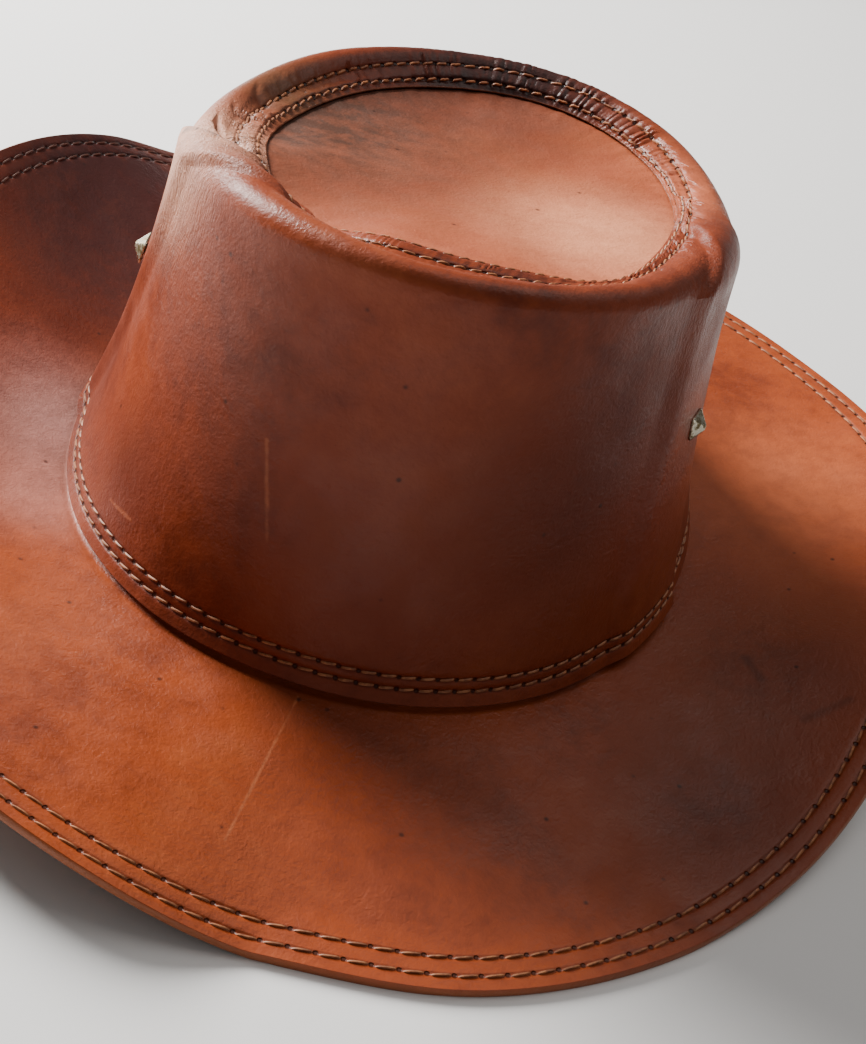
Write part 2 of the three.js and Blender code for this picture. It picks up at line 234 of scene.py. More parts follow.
PLEAT_WANDER = (Wave(5, 0.9, 0.4), Wave(13, 0.6, 1.9), Wave(29, 0.35, 0.8), Wave(47, 0.25, 2.2))
PLEAT_HEIGHTS = (Wave(17, 0.30, 2.1), Wave(37, 0.25, 0.3), Wave(61, 0.25, 1.1))
WRINKLE_WANDER = (Wave(7, 0.8, 0.2), Wave(19, 0.5, 1.0), Wave(31, 0.4, 2.0))
WRINKLE_HEIGHTS = (Wave(11, 0.4, 0.9), Wave(23, 0.35, 1.7))
WALL_WAVES = (Wave(3, 0.35, 0.5), Wave(5, 0.25, 2.0), Wave(8, 0.15, 1.2))
TOP_CREASES = (Wave(43, 0.05, 0.3), Wave(67, 0.04, 1.2), Wave(29, 0.05, 2.6), Wave(97, 0.02, 0.9))
TOP_WAVES = (Wave(4, 0.30, 0.9), Wave(7, 0.22, 2.2), Wave(11, 0.12, 0.1))
BRIM_WAVES = (Wave(4, 0.45, 0.4), Wave(7, 0.30, 1.9), Wave(11, 0.18, 0.7))


def around(rows: Sequence, column: str, azimuth: Array) -> Array:
    """Value of a table's column at azimuths.

    Cubic pieces join the rows, and the slope at each row is the mean of the slopes beside it,
    weighted towards the nearer row.

    Args:
        rows: A table whose rows go once round the hat.
        column: The name of the column.
        azimuth: Azimuths in degrees.

    Returns:
        One value for each azimuth.
    """
    knots = np.array([row.azimuth for row in rows], float)
    values = np.array([getattr(row, column) for row in rows], float)
    span = np.diff(knots, append=knots[0] + 360)
    slope = (np.roll(values, -1) - values) / span
    before = np.roll(span, 1)
    tangent = (np.roll(slope, 1) * span + slope * before) / (span + before)
    turned = np.mod(azimuth - knots[0], 360) + knots[0]
    i = np.searchsorted(knots, turned, side="right") - 1
    after = (i + 1) % len(knots)
    t = (turned - knots[i]) / span[i]
    rise = t * t * (3 - 2 * t)
    lead = t * (1 - t) ** 2 * tangent[i] * span[i]
    trail = t * t * (t - 1) * tangent[after] * span[i]
    return values[i] + (values[after] - values[i]) * rise + lead + trail


def seam(side: Side, place: Array) -> Array:
    """Azimuth of the front panel's raw end on a side, straight between the table's places."""
    places = [row.place for row in SEAM_ROWS]
    return np.interp(place, places, [getattr(row, side.value) for row in SEAM_ROWS])


def unit(vectors: Array) -> Array:
    """Vectors scaled to a length of one."""
    return vectors / np.maximum(np.linalg.norm(vectors, axis=-1, keepdims=True), 1e-9)


def half_turn(degrees: Array) -> Array:
    """The same angle between -180 and 180."""
    return np.mod(degrees + 180, 360) - 180


def smooth_step(value: Array, low: float, high: float) -> Array:
    """Nought below low, one above high, and 3t^2 - 2t^3 between them."""
    t = np.clip((value - low) / (high - low), 0, 1)
    return t * t * (3 - 2 * t)


def bell(value: Array, width: float) -> Array:
    """The bell exp(-(value / width)^2)."""
    return np.exp(-((value / width) ** 2))


def window(value: Array, start: Array | float, full: float, fade: Array | float, end: Array | float) -> Array:
    """Rises from nought to one between start and full, and falls back between fade and end."""
    return smooth_step(value, start, full) * (1 - smooth_step(value, fade, end))


def waves(azimuth: Array, table: Sequence[Wave]) -> Array:
    """Sum of height * sin(turns * azimuth + phase) over a table's waves."""
    angle = np.radians(azimuth)
    return sum(wave.height * np.sin(wave.turns * angle + wave.phase) for wave in table)


def grooves(distance: Array, rows: Sequence[float], depth: float, width: float) -> Array:
    """The pull of stitches on their leather: a groove along each row."""
    return -depth * sum(bell(distance - row, width) for row in rows)


def grid(first: int, second: int) -> tuple[Array, Array]:
    """Every pair of two counts, the second running faster."""
    pairs = np.meshgrid(np.arange(first), np.arange(second), indexing="ij")
    return pairs[0].ravel(), pairs[1].ravel()


def tube(rings: int, sides: int) -> Array:
    """Quads between the rings of a tube, whose points are numbered ring by ring."""
    k, s = grid(rings - 1, sides)
    after = (s + 1) % sides
    return np.stack([k, k, k + 1, k + 1], 1) * sides + np.stack([s, after, after, s], 1)


# ---------------------------------------------------------------- the hat's form


@dataclass(frozen=True)
class Oval:
    """A level oval, by its half axes and its middle."""

    half_width: float
    half_length: float
    x: float
    y: float

    def at(self, azimuth: Array, height: Array) -> Array:
        """Points (x + a cos, y + b sin, height)."""
        a = np.radians(azimuth)
        flat = (self.x + self.half_width * np.cos(a), self.y + self.half_length * np.sin(a))
        return np.stack([*flat, np.broadcast_to(height, a.shape)], -1)


def shifted(point: Array, out: Array, out_by: Array | float, up_by: Array | float) -> Array:
    """Points moved along their outward direction and up."""
    moved = point + out * np.broadcast_to(out_by, point.shape[:-1])[..., None]
    moved[..., 2] += up_by
    return moved


@dataclass(frozen=True)
class HatForm:
    """The faces that the leather follows, as functions of azimuth and of a share across."""

    foot_oval: Oval = Oval(87, 102, -2.3, -1.4)
    rim_oval: Oval = Oval(71, 86, -2.6, -3.4)
    top_oval: Oval = Oval(53, 68.6, -2.3, 0)
    crown_leather: float = 1.8
    brim_leather: float = 2.4
    gap: float = 0.35
    hem_drop: float = 7.0
    hem_flare: float = 2.5
    hem_power: float = 1.474
    wall_dip: float = 2.5
    wall_lean: float = 10.0
    fillet_limit: float = 0.75
    flange_start: float = 2.0
    flange_limit: float = 0.5
    collar_gap: float = 0.6
    collar_share: float = 0.07
    bend_radius: float = 2.5
    top_dish: float = 2.5
    top_margin: float = 2.0

    def outward(self, azimuth: Array) -> Array:
        """Level direction straight out of the wall's foot."""
        a = np.radians(azimuth)
        flat = (np.cos(a) / self.foot_oval.half_width, np.sin(a) / self.foot_oval.half_length)
        return unit(np.stack([*flat, np.zeros_like(a)], -1))

    def top_place(self, azimuth: Array, share: Array | float, height: Array) -> Array:
        """Points on the top's outline (share 1) or farther in: its oval, and bulges that grow as share^2."""
        oval = self.top_oval
        middle = np.array([oval.x, oval.y, 0.0])
        s = np.broadcast_to(share, azimuth.shape)
        edge = oval.at(azimuth, 0 * azimuth) - middle
        reach = 0.0
        for bulge in TOP_BULGES:
            reach = reach + bulge.reach * bell(half_turn(azimuth - bulge.azimuth), bulge.width)
        return shifted(middle + edge * s[..., None], self.outward(azimuth), reach * s * s, height)

    def foot(self, azimuth: Array) -> Array:
        """Points of the upper stitch row at the wall's foot."""
        return self.foot_oval.at(azimuth, around(CROWN_ROWS, "foot", azimuth))

    def hem(self, azimuth: Array, drop: Array | float) -> Array:
        """Points so far below the foot: the flare grows as (drop / hem drop) to a power."""
        flare = self.hem_flare * (np.asarray(drop) / self.hem_drop) ** self.hem_power
        return shifted(self.foot(azimuth), self.outward(azimuth), flare, -np.asarray(drop))

    def wall(self, azimuth: Array, share: Array | float) -> Array:
        """Points on the wall from its foot (0) to the roll (1): a straight line, less 4 dip s (1 - s)."""
        out = self.outward(azimuth)
        foot = self.foot(azimuth)
        roll = around(CROWN_ROWS, "roll", azimuth)
        rim = self.rim_oval.at(azimuth, around(CROWN_ROWS, "rim", azimuth) - roll)
        lean = math.radians(self.wall_lean)
        top = shifted(rim, out, roll * (math.cos(lean) - 1), roll * math.sin(lean))
        s = np.asarray(share, float)
        line = foot + (top - foot) * (s[..., None] if s.ndim else s)
        return shifted(line, out, -4 * self.wall_dip * s * (1 - s), 0)

    def crown(self, azimuth: Array, steps: "CrownSteps") -> Array:
        """Outer face of the crown from the hem's raw edge to the flange's raw edge.

        A hem, the wall, an arc of the roll's radius from the wall's lean to the turn, a quadratic
        fillet round the corner where the roll's end and the ledge would meet, and a straight flange.

        Args:
            azimuth: Azimuths of the points, columns by rows.
            steps: How many rows each part has.

        Returns:
            Points, columns by rows.
        """
        rows = azimuth.T
        parts = [self.hem(row, drop) for row, drop in zip(rows, steps.hem_drops(self.hem_drop))]
        parts += [self.wall(row, share) for row, share in zip(rows[steps.hem:], steps.wall_shares())]
        lean = math.radians(self.wall_lean)

        def roll_point(a_row: Array, t: float) -> Array:
            """Point at share t of the roll."""
            radius = around(CROWN_ROWS, "roll", a_row)
            rim = self.rim_oval.at(a_row, around(CROWN_ROWS, "rim", a_row) - radius)
            turn = np.radians(around(CROWN_ROWS, "turn", a_row))
            angle = lean + (turn - lean) * t
            out = self.outward(a_row)
            return shifted(rim, out, radius * (np.cos(angle) - 1), radius * np.sin(angle))

        def flange_knots(a_row: Array) -> tuple[Array, Array, Array, Array]:
            """End of the roll, corner, start of the flange and its raw edge."""
            out = self.outward(a_row)
            end = roll_point(a_row, 1.0)
            turn = np.radians(around(CROWN_ROWS, "turn", a_row))
            ledge = around(CROWN_ROWS, "ledge", a_row) + self.gap + self.crown_leather
            edge = self.top_place(a_row, 1.0, ledge)
            across = ((end - edge) * out).sum(-1)
            down = (end[:, 2] - edge[:, 2]) / -np.cos(turn)
            run = np.minimum(down, self.fillet_limit * across / np.sin(turn))
            corner = shifted(end, out, -run * np.sin(turn), run * np.cos(turn))
            reach = np.linalg.norm(edge - corner, axis=-1, keepdims=True)
            share = np.minimum(self.flange_start / reach, self.flange_limit)
            return end, corner, corner + (edge - corner) * share, edge

        for row, t in zip(rows[steps.hem + steps.low + steps.wall:], np.linspace(0, 1, steps.roll + 1)):
            parts.append(roll_point(row, t))
        inner = rows[len(parts):]
        for row, t in zip(inner, np.linspace(0, 1, steps.fillet + 1)[1:]):
            end, corner, start, _ = flange_knots(row)
            parts.append(end * (1 - t) ** 2 + corner * 2 * t * (1 - t) + start * t * t)
        for row, t in zip(inner[steps.fillet:], np.linspace(0, 1, steps.flange + 1)[1:]):
            _, _, start, edge = flange_knots(row)
            parts.append(start + (edge - start) * t)
        return np.stack(parts, 1)

    def brim(self, azimuth: Array, steps: "BrimSteps") -> Array:
        """Upper face of the brim from its edge in to the bend and up the collar.

        The sheet is a line tangent to the bend, less 4 dip t (1 - t). The bend is an arc, and the
        collar follows the inside of the hem and of the wall.

        Args:
            azimuth: Azimuths of the columns.
            steps: How many rows each part has.

        Returns:
            Points, columns by rows.
        """
        out = self.outward(azimuth)
        foot = self.foot(azimuth)
        inset = -(self.crown_leather + self.collar_gap)
        half_drop = self.hem_drop / 2
        half_flare = self.hem_flare * 0.5**self.hem_power
        flare = math.atan2(self.hem_flare - half_flare, half_drop)
        radius = self.bend_radius
        touch_out = self.hem_flare + inset * math.cos(flare)
        touch = shifted(foot, out, touch_out, -self.hem_drop + inset * math.sin(flare))
        centre = shifted(touch, out, radius * math.cos(flare), radius * math.sin(flare))
        rise = around(BRIM_ROWS, "edge", azimuth) + self.brim_leather - centre[:, 2]
        width = around(BRIM_ROWS, "width", azimuth)
        reach = np.sqrt(width**2 - (rise + self.hem_drop) ** 2) + self.hem_flare
        reach = reach - ((centre - foot) * out).sum(-1)
        straight = np.sqrt(reach**2 + rise**2 - radius**2)
        slope = np.arctan2(rise, reach) + np.arctan2(radius, straight)
        dip = around(BRIM_ROWS, "dip", azimuth)
        bend_end = shifted(centre, out, radius * np.sin(slope), -radius * np.cos(slope))
        parts = []
        for t in steps.shares(straight):
            along = straight * t
            lift = along * np.sin(slope) - 4 * dip * t * (1 - t)
            parts.append(shifted(bend_end, out, along * np.cos(slope), lift))
        for k in np.linspace(1, 0, steps.bend + 1):
            a = k * (math.pi / 2 - flare + slope) - math.pi + flare
            parts.append(shifted(centre, out, radius * np.cos(a), radius * np.sin(a)))
        lean = math.atan2(self.hem_flare, self.hem_drop)
        middle = shifted(foot, out, half_flare + inset * math.cos(lean), -half_drop + inset * math.sin(lean))
        knots = [parts[-1], middle, shifted(foot, out, inset, 0)]
        knots.append(shifted(self.wall(azimuth, self.collar_share), out, inset, 0))
        for low, high in zip(knots, knots[1:]):
            parts += [low + (high - low) * t for t in np.linspace(0, 1, steps.collar + 1)[1:]]
        return np.stack(parts, 1)

    def top_height(self, azimuth: Array, share: Array) -> Array:
        """Height of the top panel: a middle, an even tilt, the rest of the ledge as share^3, and a dish."""
        lap = np.arange(0, 360, 1.0)
        ledge = around(CROWN_ROWS, "ledge", lap)
        turn = np.radians(lap)
        middle = ledge.mean()
        to_right, to_back = (2 * (ledge * share).mean() for share in (np.cos(turn), np.sin(turn)))
        here = np.radians(azimuth)
        tilt = to_right * np.cos(here) + to_back * np.sin(here)
        rest = around(CROWN_ROWS, "ledge", azimuth) - middle - tilt
        within = np.minimum(share, 1)
        return middle + tilt * within + rest * within**3 - self.top_dish * (1 - within**2)


@dataclass(frozen=True)
class CrownSteps:
    """Rows of a crown panel's grid."""

    hem: int = 14
    low: int = 10
    wall: int = 40
    roll: int = 16
    fillet: int = 10
    flange: int = 16
    low_share: float = 0.05

    def hem_drops(self, drop: float) -> Array:
        """Drops from the raw edge up to just below the foot."""
        return np.linspace(drop, 0, self.hem + 1)[:-1]

    def places(self) -> Array:
        """Every row's place in the table of the seams."""
        hem = np.zeros(self.hem)
        roll = np.linspace(1, 2, self.roll + 1)
        fillet = np.linspace(2, 2.5, self.fillet + 1)[1:]
        flange = np.linspace(2.5, 3, self.flange + 1)[1:]
        return np.concatenate([hem, self.wall_shares(), roll, fillet, flange])

    def wall_shares(self) -> Array:
        """Shares up the wall, closer together by the stitches, up to just below the roll."""
        low = np.linspace(0, self.low_share, self.low + 1)[:-1]
        return np.concatenate([low, np.linspace(self.low_share, 1, self.wall + 1)[:-1]])


@dataclass(frozen=True)
class BrimSteps:
    """Rows of the brim's grid."""

    sewn: int = 26
    sewn_width: float = 13.0
    sheet: int = 36
    bend: int = 8
    collar: int = 5

    def shares(self, straight: Array) -> list[Array]:
        """Shares from the edge (1) in to just before the bend (0), closer together by the stitches."""
        sewn = np.linspace(0, self.sewn_width, self.sewn + 1)[:-1]
        near = [1 - distance / straight for distance in sewn]
        border = 1 - self.sewn_width / straight
        return near + [border * t for t in np.linspace(1, 0, self.sheet + 1)[:-1]]


# ---------------------------------------------------------------- meshes


@dataclass
class MeshData:
    """Vertices, faces and the attributes of a mesh on its way to Blender."""

    vertices: Array
    faces: list
    corners: dict[str, Array] = field(default_factory=dict)
    points: dict[str, Array] = field(default_factory=dict)

    def make(self, name: str, crease: float = 35.0) -> bpy.types.Object:
        """The mesh as an object at the origin, in metres, smooth but for edges over a crease angle.

        Args:
            name: Name of the object.
            crease: Angle in degrees over which an edge stays sharp.

        Returns:
            The object.
        """
        mesh = bpy.data.meshes.new(name)
        mesh.from_pydata((self.vertices * MM).tolist(), [], self.faces)
        for domain, attributes in (("CORNER", self.corners), ("POINT", self.points)):
            for label, values in attributes.items():
                attribute = mesh.attributes.new(label, "FLOAT_VECTOR", domain)
                attribute.data.foreach_set("vector", values.astype(np.float32).ravel())
        mesh.update()
        mesh.shade_smooth()
        mesh.set_sharp_from_angle(angle=math.radians(crease))
        made = bpy.data.objects.new(name, mesh)
        bpy.context.scene.collection.objects.link(made)
        log.info("%s: %d vertices, %d faces", name, len(mesh.vertices), len(mesh.polygons))
        return made


@dataclass(frozen=True)
class Sewing:
    """Rows of stitches along one line round the hat."""

    label: str
    rows: tuple[float, ...]
    pitch: float
    line: Array

    def _lengths(self) -> tuple[Array, Array, int]:
        """Azimuths, stitches sewn up to each, and stitches in a whole lap."""
        closed = np.concatenate([self.line, self.line[:1]])
        run = np.concatenate([[0], np.linalg.norm(np.diff(closed, axis=0), axis=1).cumsum()])
        count = round(run[-1] / self.pitch)
        return np.linspace(0, 360, len(run)), run / run[-1] * count, count

    def stitches_at(self, azimuth: Array) -> Array:
        """How many stitches were sewn from azimuth 0 up to these azimuths."""
        azimuths, sewn, count = self._lengths()
        lap = np.floor(azimuth / 360)
        return np.interp(azimuth - 360 * lap, azimuths, sewn) + lap * count

    def azimuth_of(self, stitches: Array) -> Array:
        """Azimuths, from 0 to 360, at which so many stitches were sewn."""
        azimuths, sewn, count = self._lengths()
        return np.interp(np.mod(stitches, count), sewn, azimuths)

    def whole(self) -> int:
        """Number of stitches in a lap of one row."""
        return self._lengths()[2]


class Sheet:
    """A sheet of leather on a grid of columns by azimuth and rows across."""

    EDGE_STEPS = 3
    EDGE_BULGE = 0.35
    END_CUT = 0.6

    def __init__(self, azimuth: Array, points: Array, closed: bool) -> None:
        """Takes the grid's outer face. An open sheet has one more column at each side, for its normals.

        Args:
            azimuth: Azimuths of the points.
            points: Outer points.
            closed: Whether the columns go the whole way round.
        """
        self.closed = closed
        if closed:
            before, after = np.roll(points, 1, 0), np.roll(points, -1, 0)
            self.azimuth, self.points = azimuth, points.copy()
        else:
            before, after = points[:-2], points[2:]
            self.azimuth, self.points = azimuth[1:-1], points[1:-1].copy()
        along = np.gradient(self.points, axis=1)
        self.normals = unit(np.cross(after - before, along))
        steps = np.linalg.norm(np.diff(self.points, axis=1), axis=2)
        self.from_first = np.concatenate([np.zeros((len(steps), 1)), steps.cumsum(1)], 1)
        self.pared = np.zeros(self.points.shape[:2])

    def distance(self, end: End) -> Array:
        """Distance of every point from an end of its profile."""
        if end is End.FIRST:
            return self.from_first
        return self.from_first[:, -1:] - self.from_first

    def raise_by(self, height: Array) -> None:
        """Moves the grid out along its normals."""
        self.points = self.points + self.normals * height[..., None]

    def pare(self, end: End, depth: float, width: float) -> None:
        """Thins the leather towards a raw edge, from its outer face."""
        self.pared = depth * (1 - smooth_step(self.distance(end), 0, width))
        self.raise_by(-self.pared)

    def row(self, end: End, at: float, face: Face, leather: float) -> tuple[Array, Array, Array]:
        """The line at a distance from an end, on one face.

        Args:
            end: The end that the distance is measured from.
            at: Distance in millimetres.
            face: The face that the line lies on.
            leather: Thickness of the sheet.

        Returns:
            Azimuths, points and normals, one for each column. Normals point away from the leather.
        """
        distance = self.from_first
        target = np.full(len(distance), at) if end is End.FIRST else distance[:, -1] - at
        i = np.clip((distance < target[:, None]).sum(1), 1, distance.shape[1] - 1)
        j = np.arange(len(distance))
        t = (target - distance[j, i - 1]) / (distance[j, i] - distance[j, i - 1])
        azimuth = self.azimuth[j, i - 1] * (1 - t) + self.azimuth[j, i] * t
        t = t[:, None]
        point = self.points[j, i - 1] * (1 - t) + self.points[j, i] * t
        normal = unit(self.normals[j, i - 1] * (1 - t) + self.normals[j, i] * t)
        if face is Face.FLESH:
            return azimuth, point - normal * leather, -normal
        return azimuth, point, normal

    def _edge(self, outer: Array, inner: Array, beyond: Array) -> list[Array]:
        """Rounded raw edge from the outer to the inner face: middle + half cos + beyond * bulge sin."""
        middle, half = (outer + inner) / 2, (outer - inner) / 2
        angles = np.linspace(0, math.pi, self.EDGE_STEPS + 2)[1:-1]
        return [middle + half * math.cos(a) + beyond * self.EDGE_BULGE * math.sin(a) for a in angles]

    def data(self, leather: float, sewn: dict[End, Sewing], floor: float | None = None) -> MeshData:
        """Closed mesh of the sheet, with rounded raw edges.

        Args:
            leather: Thickness of the sheet.
            sewn: The sewing along each end, for the leather's needle holes.
            floor: Height that the underside doesn't go below.

        Returns:
            The mesh's data.
        """
        outer = self.points.copy()
        inner = outer - self.normals * (leather - self.pared)[..., None]
        last = self._edge(outer[:, -1], inner[:, -1], unit(outer[:, -1] - outer[:, -2]))
        first = self._edge(outer[:, 0], inner[:, 0], unit(outer[:, 0] - outer[:, 1]))[::-1]
        if floor is not None:
            outer[..., 2] = np.maximum(outer[..., 2], floor + leather)
            inner[..., 2] = np.maximum(inner[..., 2], floor)
            for line in (*last, *first):
                line[:, 2] = np.maximum(line[:, 2], floor)
        columns, rows = outer.shape[:2]
        loops = np.concatenate([outer, np.stack(last, 1), inner[:, ::-1], np.stack(first, 1)], 1)
        size = loops.shape[1]
        spans = columns if self.closed else columns - 1
        j, i = grid(spans, size)
        corner_columns = np.stack([j, j + 1, j + 1, j], 1)
        corner_rows = np.stack([i, i, (i + 1) % size, (i + 1) % size], 1)
        quads = (corner_columns % columns) * size + corner_rows
        faces = quads.tolist()
        last_edge = self.azimuth[:, -1:].repeat(self.EDGE_STEPS, 1)
        first_edge = self.azimuth[:, :1].repeat(self.EDGE_STEPS, 1)
        azimuth = np.concatenate([self.azimuth, last_edge, self.azimuth[:, ::-1], first_edge], 1)
        azimuth = np.concatenate([azimuth, azimuth[:1] + 360])
        corners = {}
        for end, sewing in sewn.items():
            far = np.full((columns, self.EDGE_STEPS), NO_SEWING)
            near = self.distance(end)
            across = np.concatenate([near, far, near[:, ::-1], far], 1)
            values = np.zeros((*quads.shape, 3))
            values[..., 0] = sewing.stitches_at(azimuth)[corner_columns, corner_rows]
            values[..., 1] = across[corner_columns % columns, corner_rows]
            corners[sewing.label] = values.reshape(-1, 3)
        if not self.closed:
            caps = self._caps(columns, rows, size)
            faces += caps
            extra = sum(len(face) for face in caps)
            for label, values in corners.items():
                corners[label] = np.concatenate([values, np.full((extra, 3), NO_SEWING)])
        inside = rows + self.EDGE_STEPS
        flags = np.zeros((columns, size, 3))
        flags[:, rows:inside, 0] = 1
        flags[:, inside + rows:, 0] = 1
        flags[:, inside:inside + rows, 1] = 1
        if not self.closed:
            flags[[0, -1], :, 0] = self.END_CUT
        return MeshData(loops.reshape(-1, 3), faces, corners, {"side": flags.reshape(-1, 3)})

    def _caps(self, columns: int, rows: int, size: int) -> list[list[int]]:
        """Faces that close the two raw ends of an open sheet."""
        k = np.arange(rows - 1)
        inner = 2 * rows + self.EDGE_STEPS - 1
        quads = np.stack([k, k + 1, inner - k - 1, inner - k], 1)
        ends = [list(range(rows - 1, rows + self.EDGE_STEPS + 1))]
        ends.append([*range(inner, size), 0])
        start = quads.tolist() + ends
        shift = (columns - 1) * size
        return start + [[shift + v for v in reversed(face)] for face in start]


# ---------------------------------------------------------------- finishes


def linear(red: float, green: float, blue: float) -> Colour:
    """A colour of 0 to 255 screen values as the linear values that shaders take."""
    shares = [v / 255 for v in (red, green, blue)]
    return tuple(v / 12.92 if v <= 0.04045 else ((v + 0.055) / 1.055) ** 2.4 for v in shares)


@dataclass(frozen=True)
class Noise:
    """A noise texture: scale for each millimetre, detail, roughness and distortion."""

    scale: float
    detail: float
    rough: float = 0.55
    bend: float = 0.0


class Bench:
    """A material's nodes, with short calls for those that the finishes share."""

    def __init__(self, name: str) -> None:
        """Starts a material with no nodes but its shader and output."""
        self.material = bpy.data.materials.new(name)
        self.material.use_nodes = True
        self.tree = self.material.node_tree
        self.tree.nodes.clear()
        self.shader = self.node("ShaderNodeBsdfPrincipled")
        output = self.node("ShaderNodeOutputMaterial")
        self.tree.links.new(self.shader.outputs[0], output.inputs[0])

    def node(self, kind: str, **settings: object) -> bpy.types.Node:
        """A node with its settings."""
        made = self.tree.nodes.new(kind)
        for name, value in settings.items():
            setattr(made, name, value)
        return made

    def feed(self, socket: Socket, value: object) -> None:
        """Puts a value or another node's output into a socket."""
        if isinstance(value, Socket):
            self.tree.links.new(value, socket)
        elif value is not None:
            wide = isinstance(value, tuple) and len(value) == 3 and socket.type == "RGBA"
            socket.default_value = (*value, 1.0) if wide else value

    def math(self, operation: str, *values: object, clamp: bool = False) -> Socket:
        """The result of a Math node."""
        made = self.node("ShaderNodeMath", operation=operation, use_clamp=clamp)
        for socket, value in zip(made.inputs, values):
            self.feed(socket, value)
        return made.outputs[0]

    def vector(self, operation: str, *values: object) -> bpy.types.Node:
        """A Vector Math node."""
        made = self.node("ShaderNodeVectorMath", operation=operation)
        for socket, value in zip(made.inputs, values):
            self.feed(socket, value)
        return made

    def scaled(self, vector: object, scale: object) -> Socket:
        """A vector times a number."""
        made = self.node("ShaderNodeVectorMath", operation="SCALE")
        self.feed(made.inputs[0], vector)
        self.feed(made.inputs["Scale"], scale)
        return made.outputs[0]

    def ranged(self, value: object, low: float, high: float, to_low: float, to_high: float) -> Socket:
        """A value carried smoothly from one range to another."""
        made = self.node("ShaderNodeMapRange", interpolation_type="SMOOTHSTEP")
        for socket, given in zip(made.inputs, (value, low, high, to_low, to_high)):
            self.feed(socket, given)
        return made.outputs[0]

    def mixed(self, factor: object, first: object, second: object) -> Socket:
        """A mix of two colours."""
        made = self.node("ShaderNodeMix", data_type="RGBA")
        self.feed(made.inputs["Factor"], factor)
        self.feed(made.inputs[6], first)
        self.feed(made.inputs[7], second)
        return made.outputs[2]

    def noise(self, vector: object, noise: Noise) -> Socket:
        """The value of a noise."""
        made = self.node("ShaderNodeTexNoise")
        self.feed(made.inputs["Vector"], vector)
        made.inputs["Scale"].default_value = noise.scale
        made.inputs["Detail"].default_value = noise.detail
        made.inputs["Roughness"].default_value = noise.rough
        made.inputs["Distortion"].default_value = noise.bend
        return made.outputs[0]

    def cells(self, vector: object, scale: float) -> Socket:
        """Distance to the nearest point of a Voronoi texture."""
        made = self.node("ShaderNodeTexVoronoi", feature="F1")
        self.feed(made.inputs["Vector"], vector)
        made.inputs["Scale"].default_value = scale
        return made.outputs["Distance"]

    def away(self, place: object, point: object) -> Socket:
        """Distance between two places."""
        return self.vector("DISTANCE", place, point).outputs["Value"]

    def parts(self, attribute: str) -> Sequence[Socket]:
        """The three parts of a vector attribute of the mesh."""
        given = self.node("ShaderNodeAttribute", attribute_name=attribute)
        made = self.node("ShaderNodeSeparateXYZ")
        self.feed(made.inputs[0], given.outputs["Vector"])
        return made.outputs

    def place(self) -> Socket:
        """Object coordinates in millimetres."""
        return self.scaled(self.node("ShaderNodeTexCoord").outputs["Object"], 1 / MM)


@dataclass(frozen=True)
class StainOrPaintedLight:
    """A place where the colour is darker, paler or another hue: either a stain in the dye or a patch of
    painted light or shade.
    """

    x: float
    y: float
    z: float
    radius: float
    colour: Colour
    strength: float

    def place(self) -> tuple[float, float, float]:
        """The middle of the patch."""
        return (self.x, self.y, self.z)


@dataclass(frozen=True)
class ScratchOrPaintedShadow:
    """A straight mark from one place to another: a scratch, or a line of painted shadow."""

    start: tuple[float, float, float]
    end: tuple[float, float, float]
    width: float
    strength: float
    colour: Colour


@dataclass(frozen=True)
class Holes:
    """Needle holes and the groove of a sewing, which the leather's own attribute places."""

    label: str
    rows: tuple[float, ...]
    pitch: float
    hole: float = 0.55
    core: float = 0.7
    rim: float = 1.5
    groove: float = 1.1
    flat: float = 0.2


@dataclass(frozen=True)
class Wrinkles:
    """A place where bending has left fine wrinkles, which run up and down."""

    place: tuple[float, float, float]
    radius: float
    depth: float


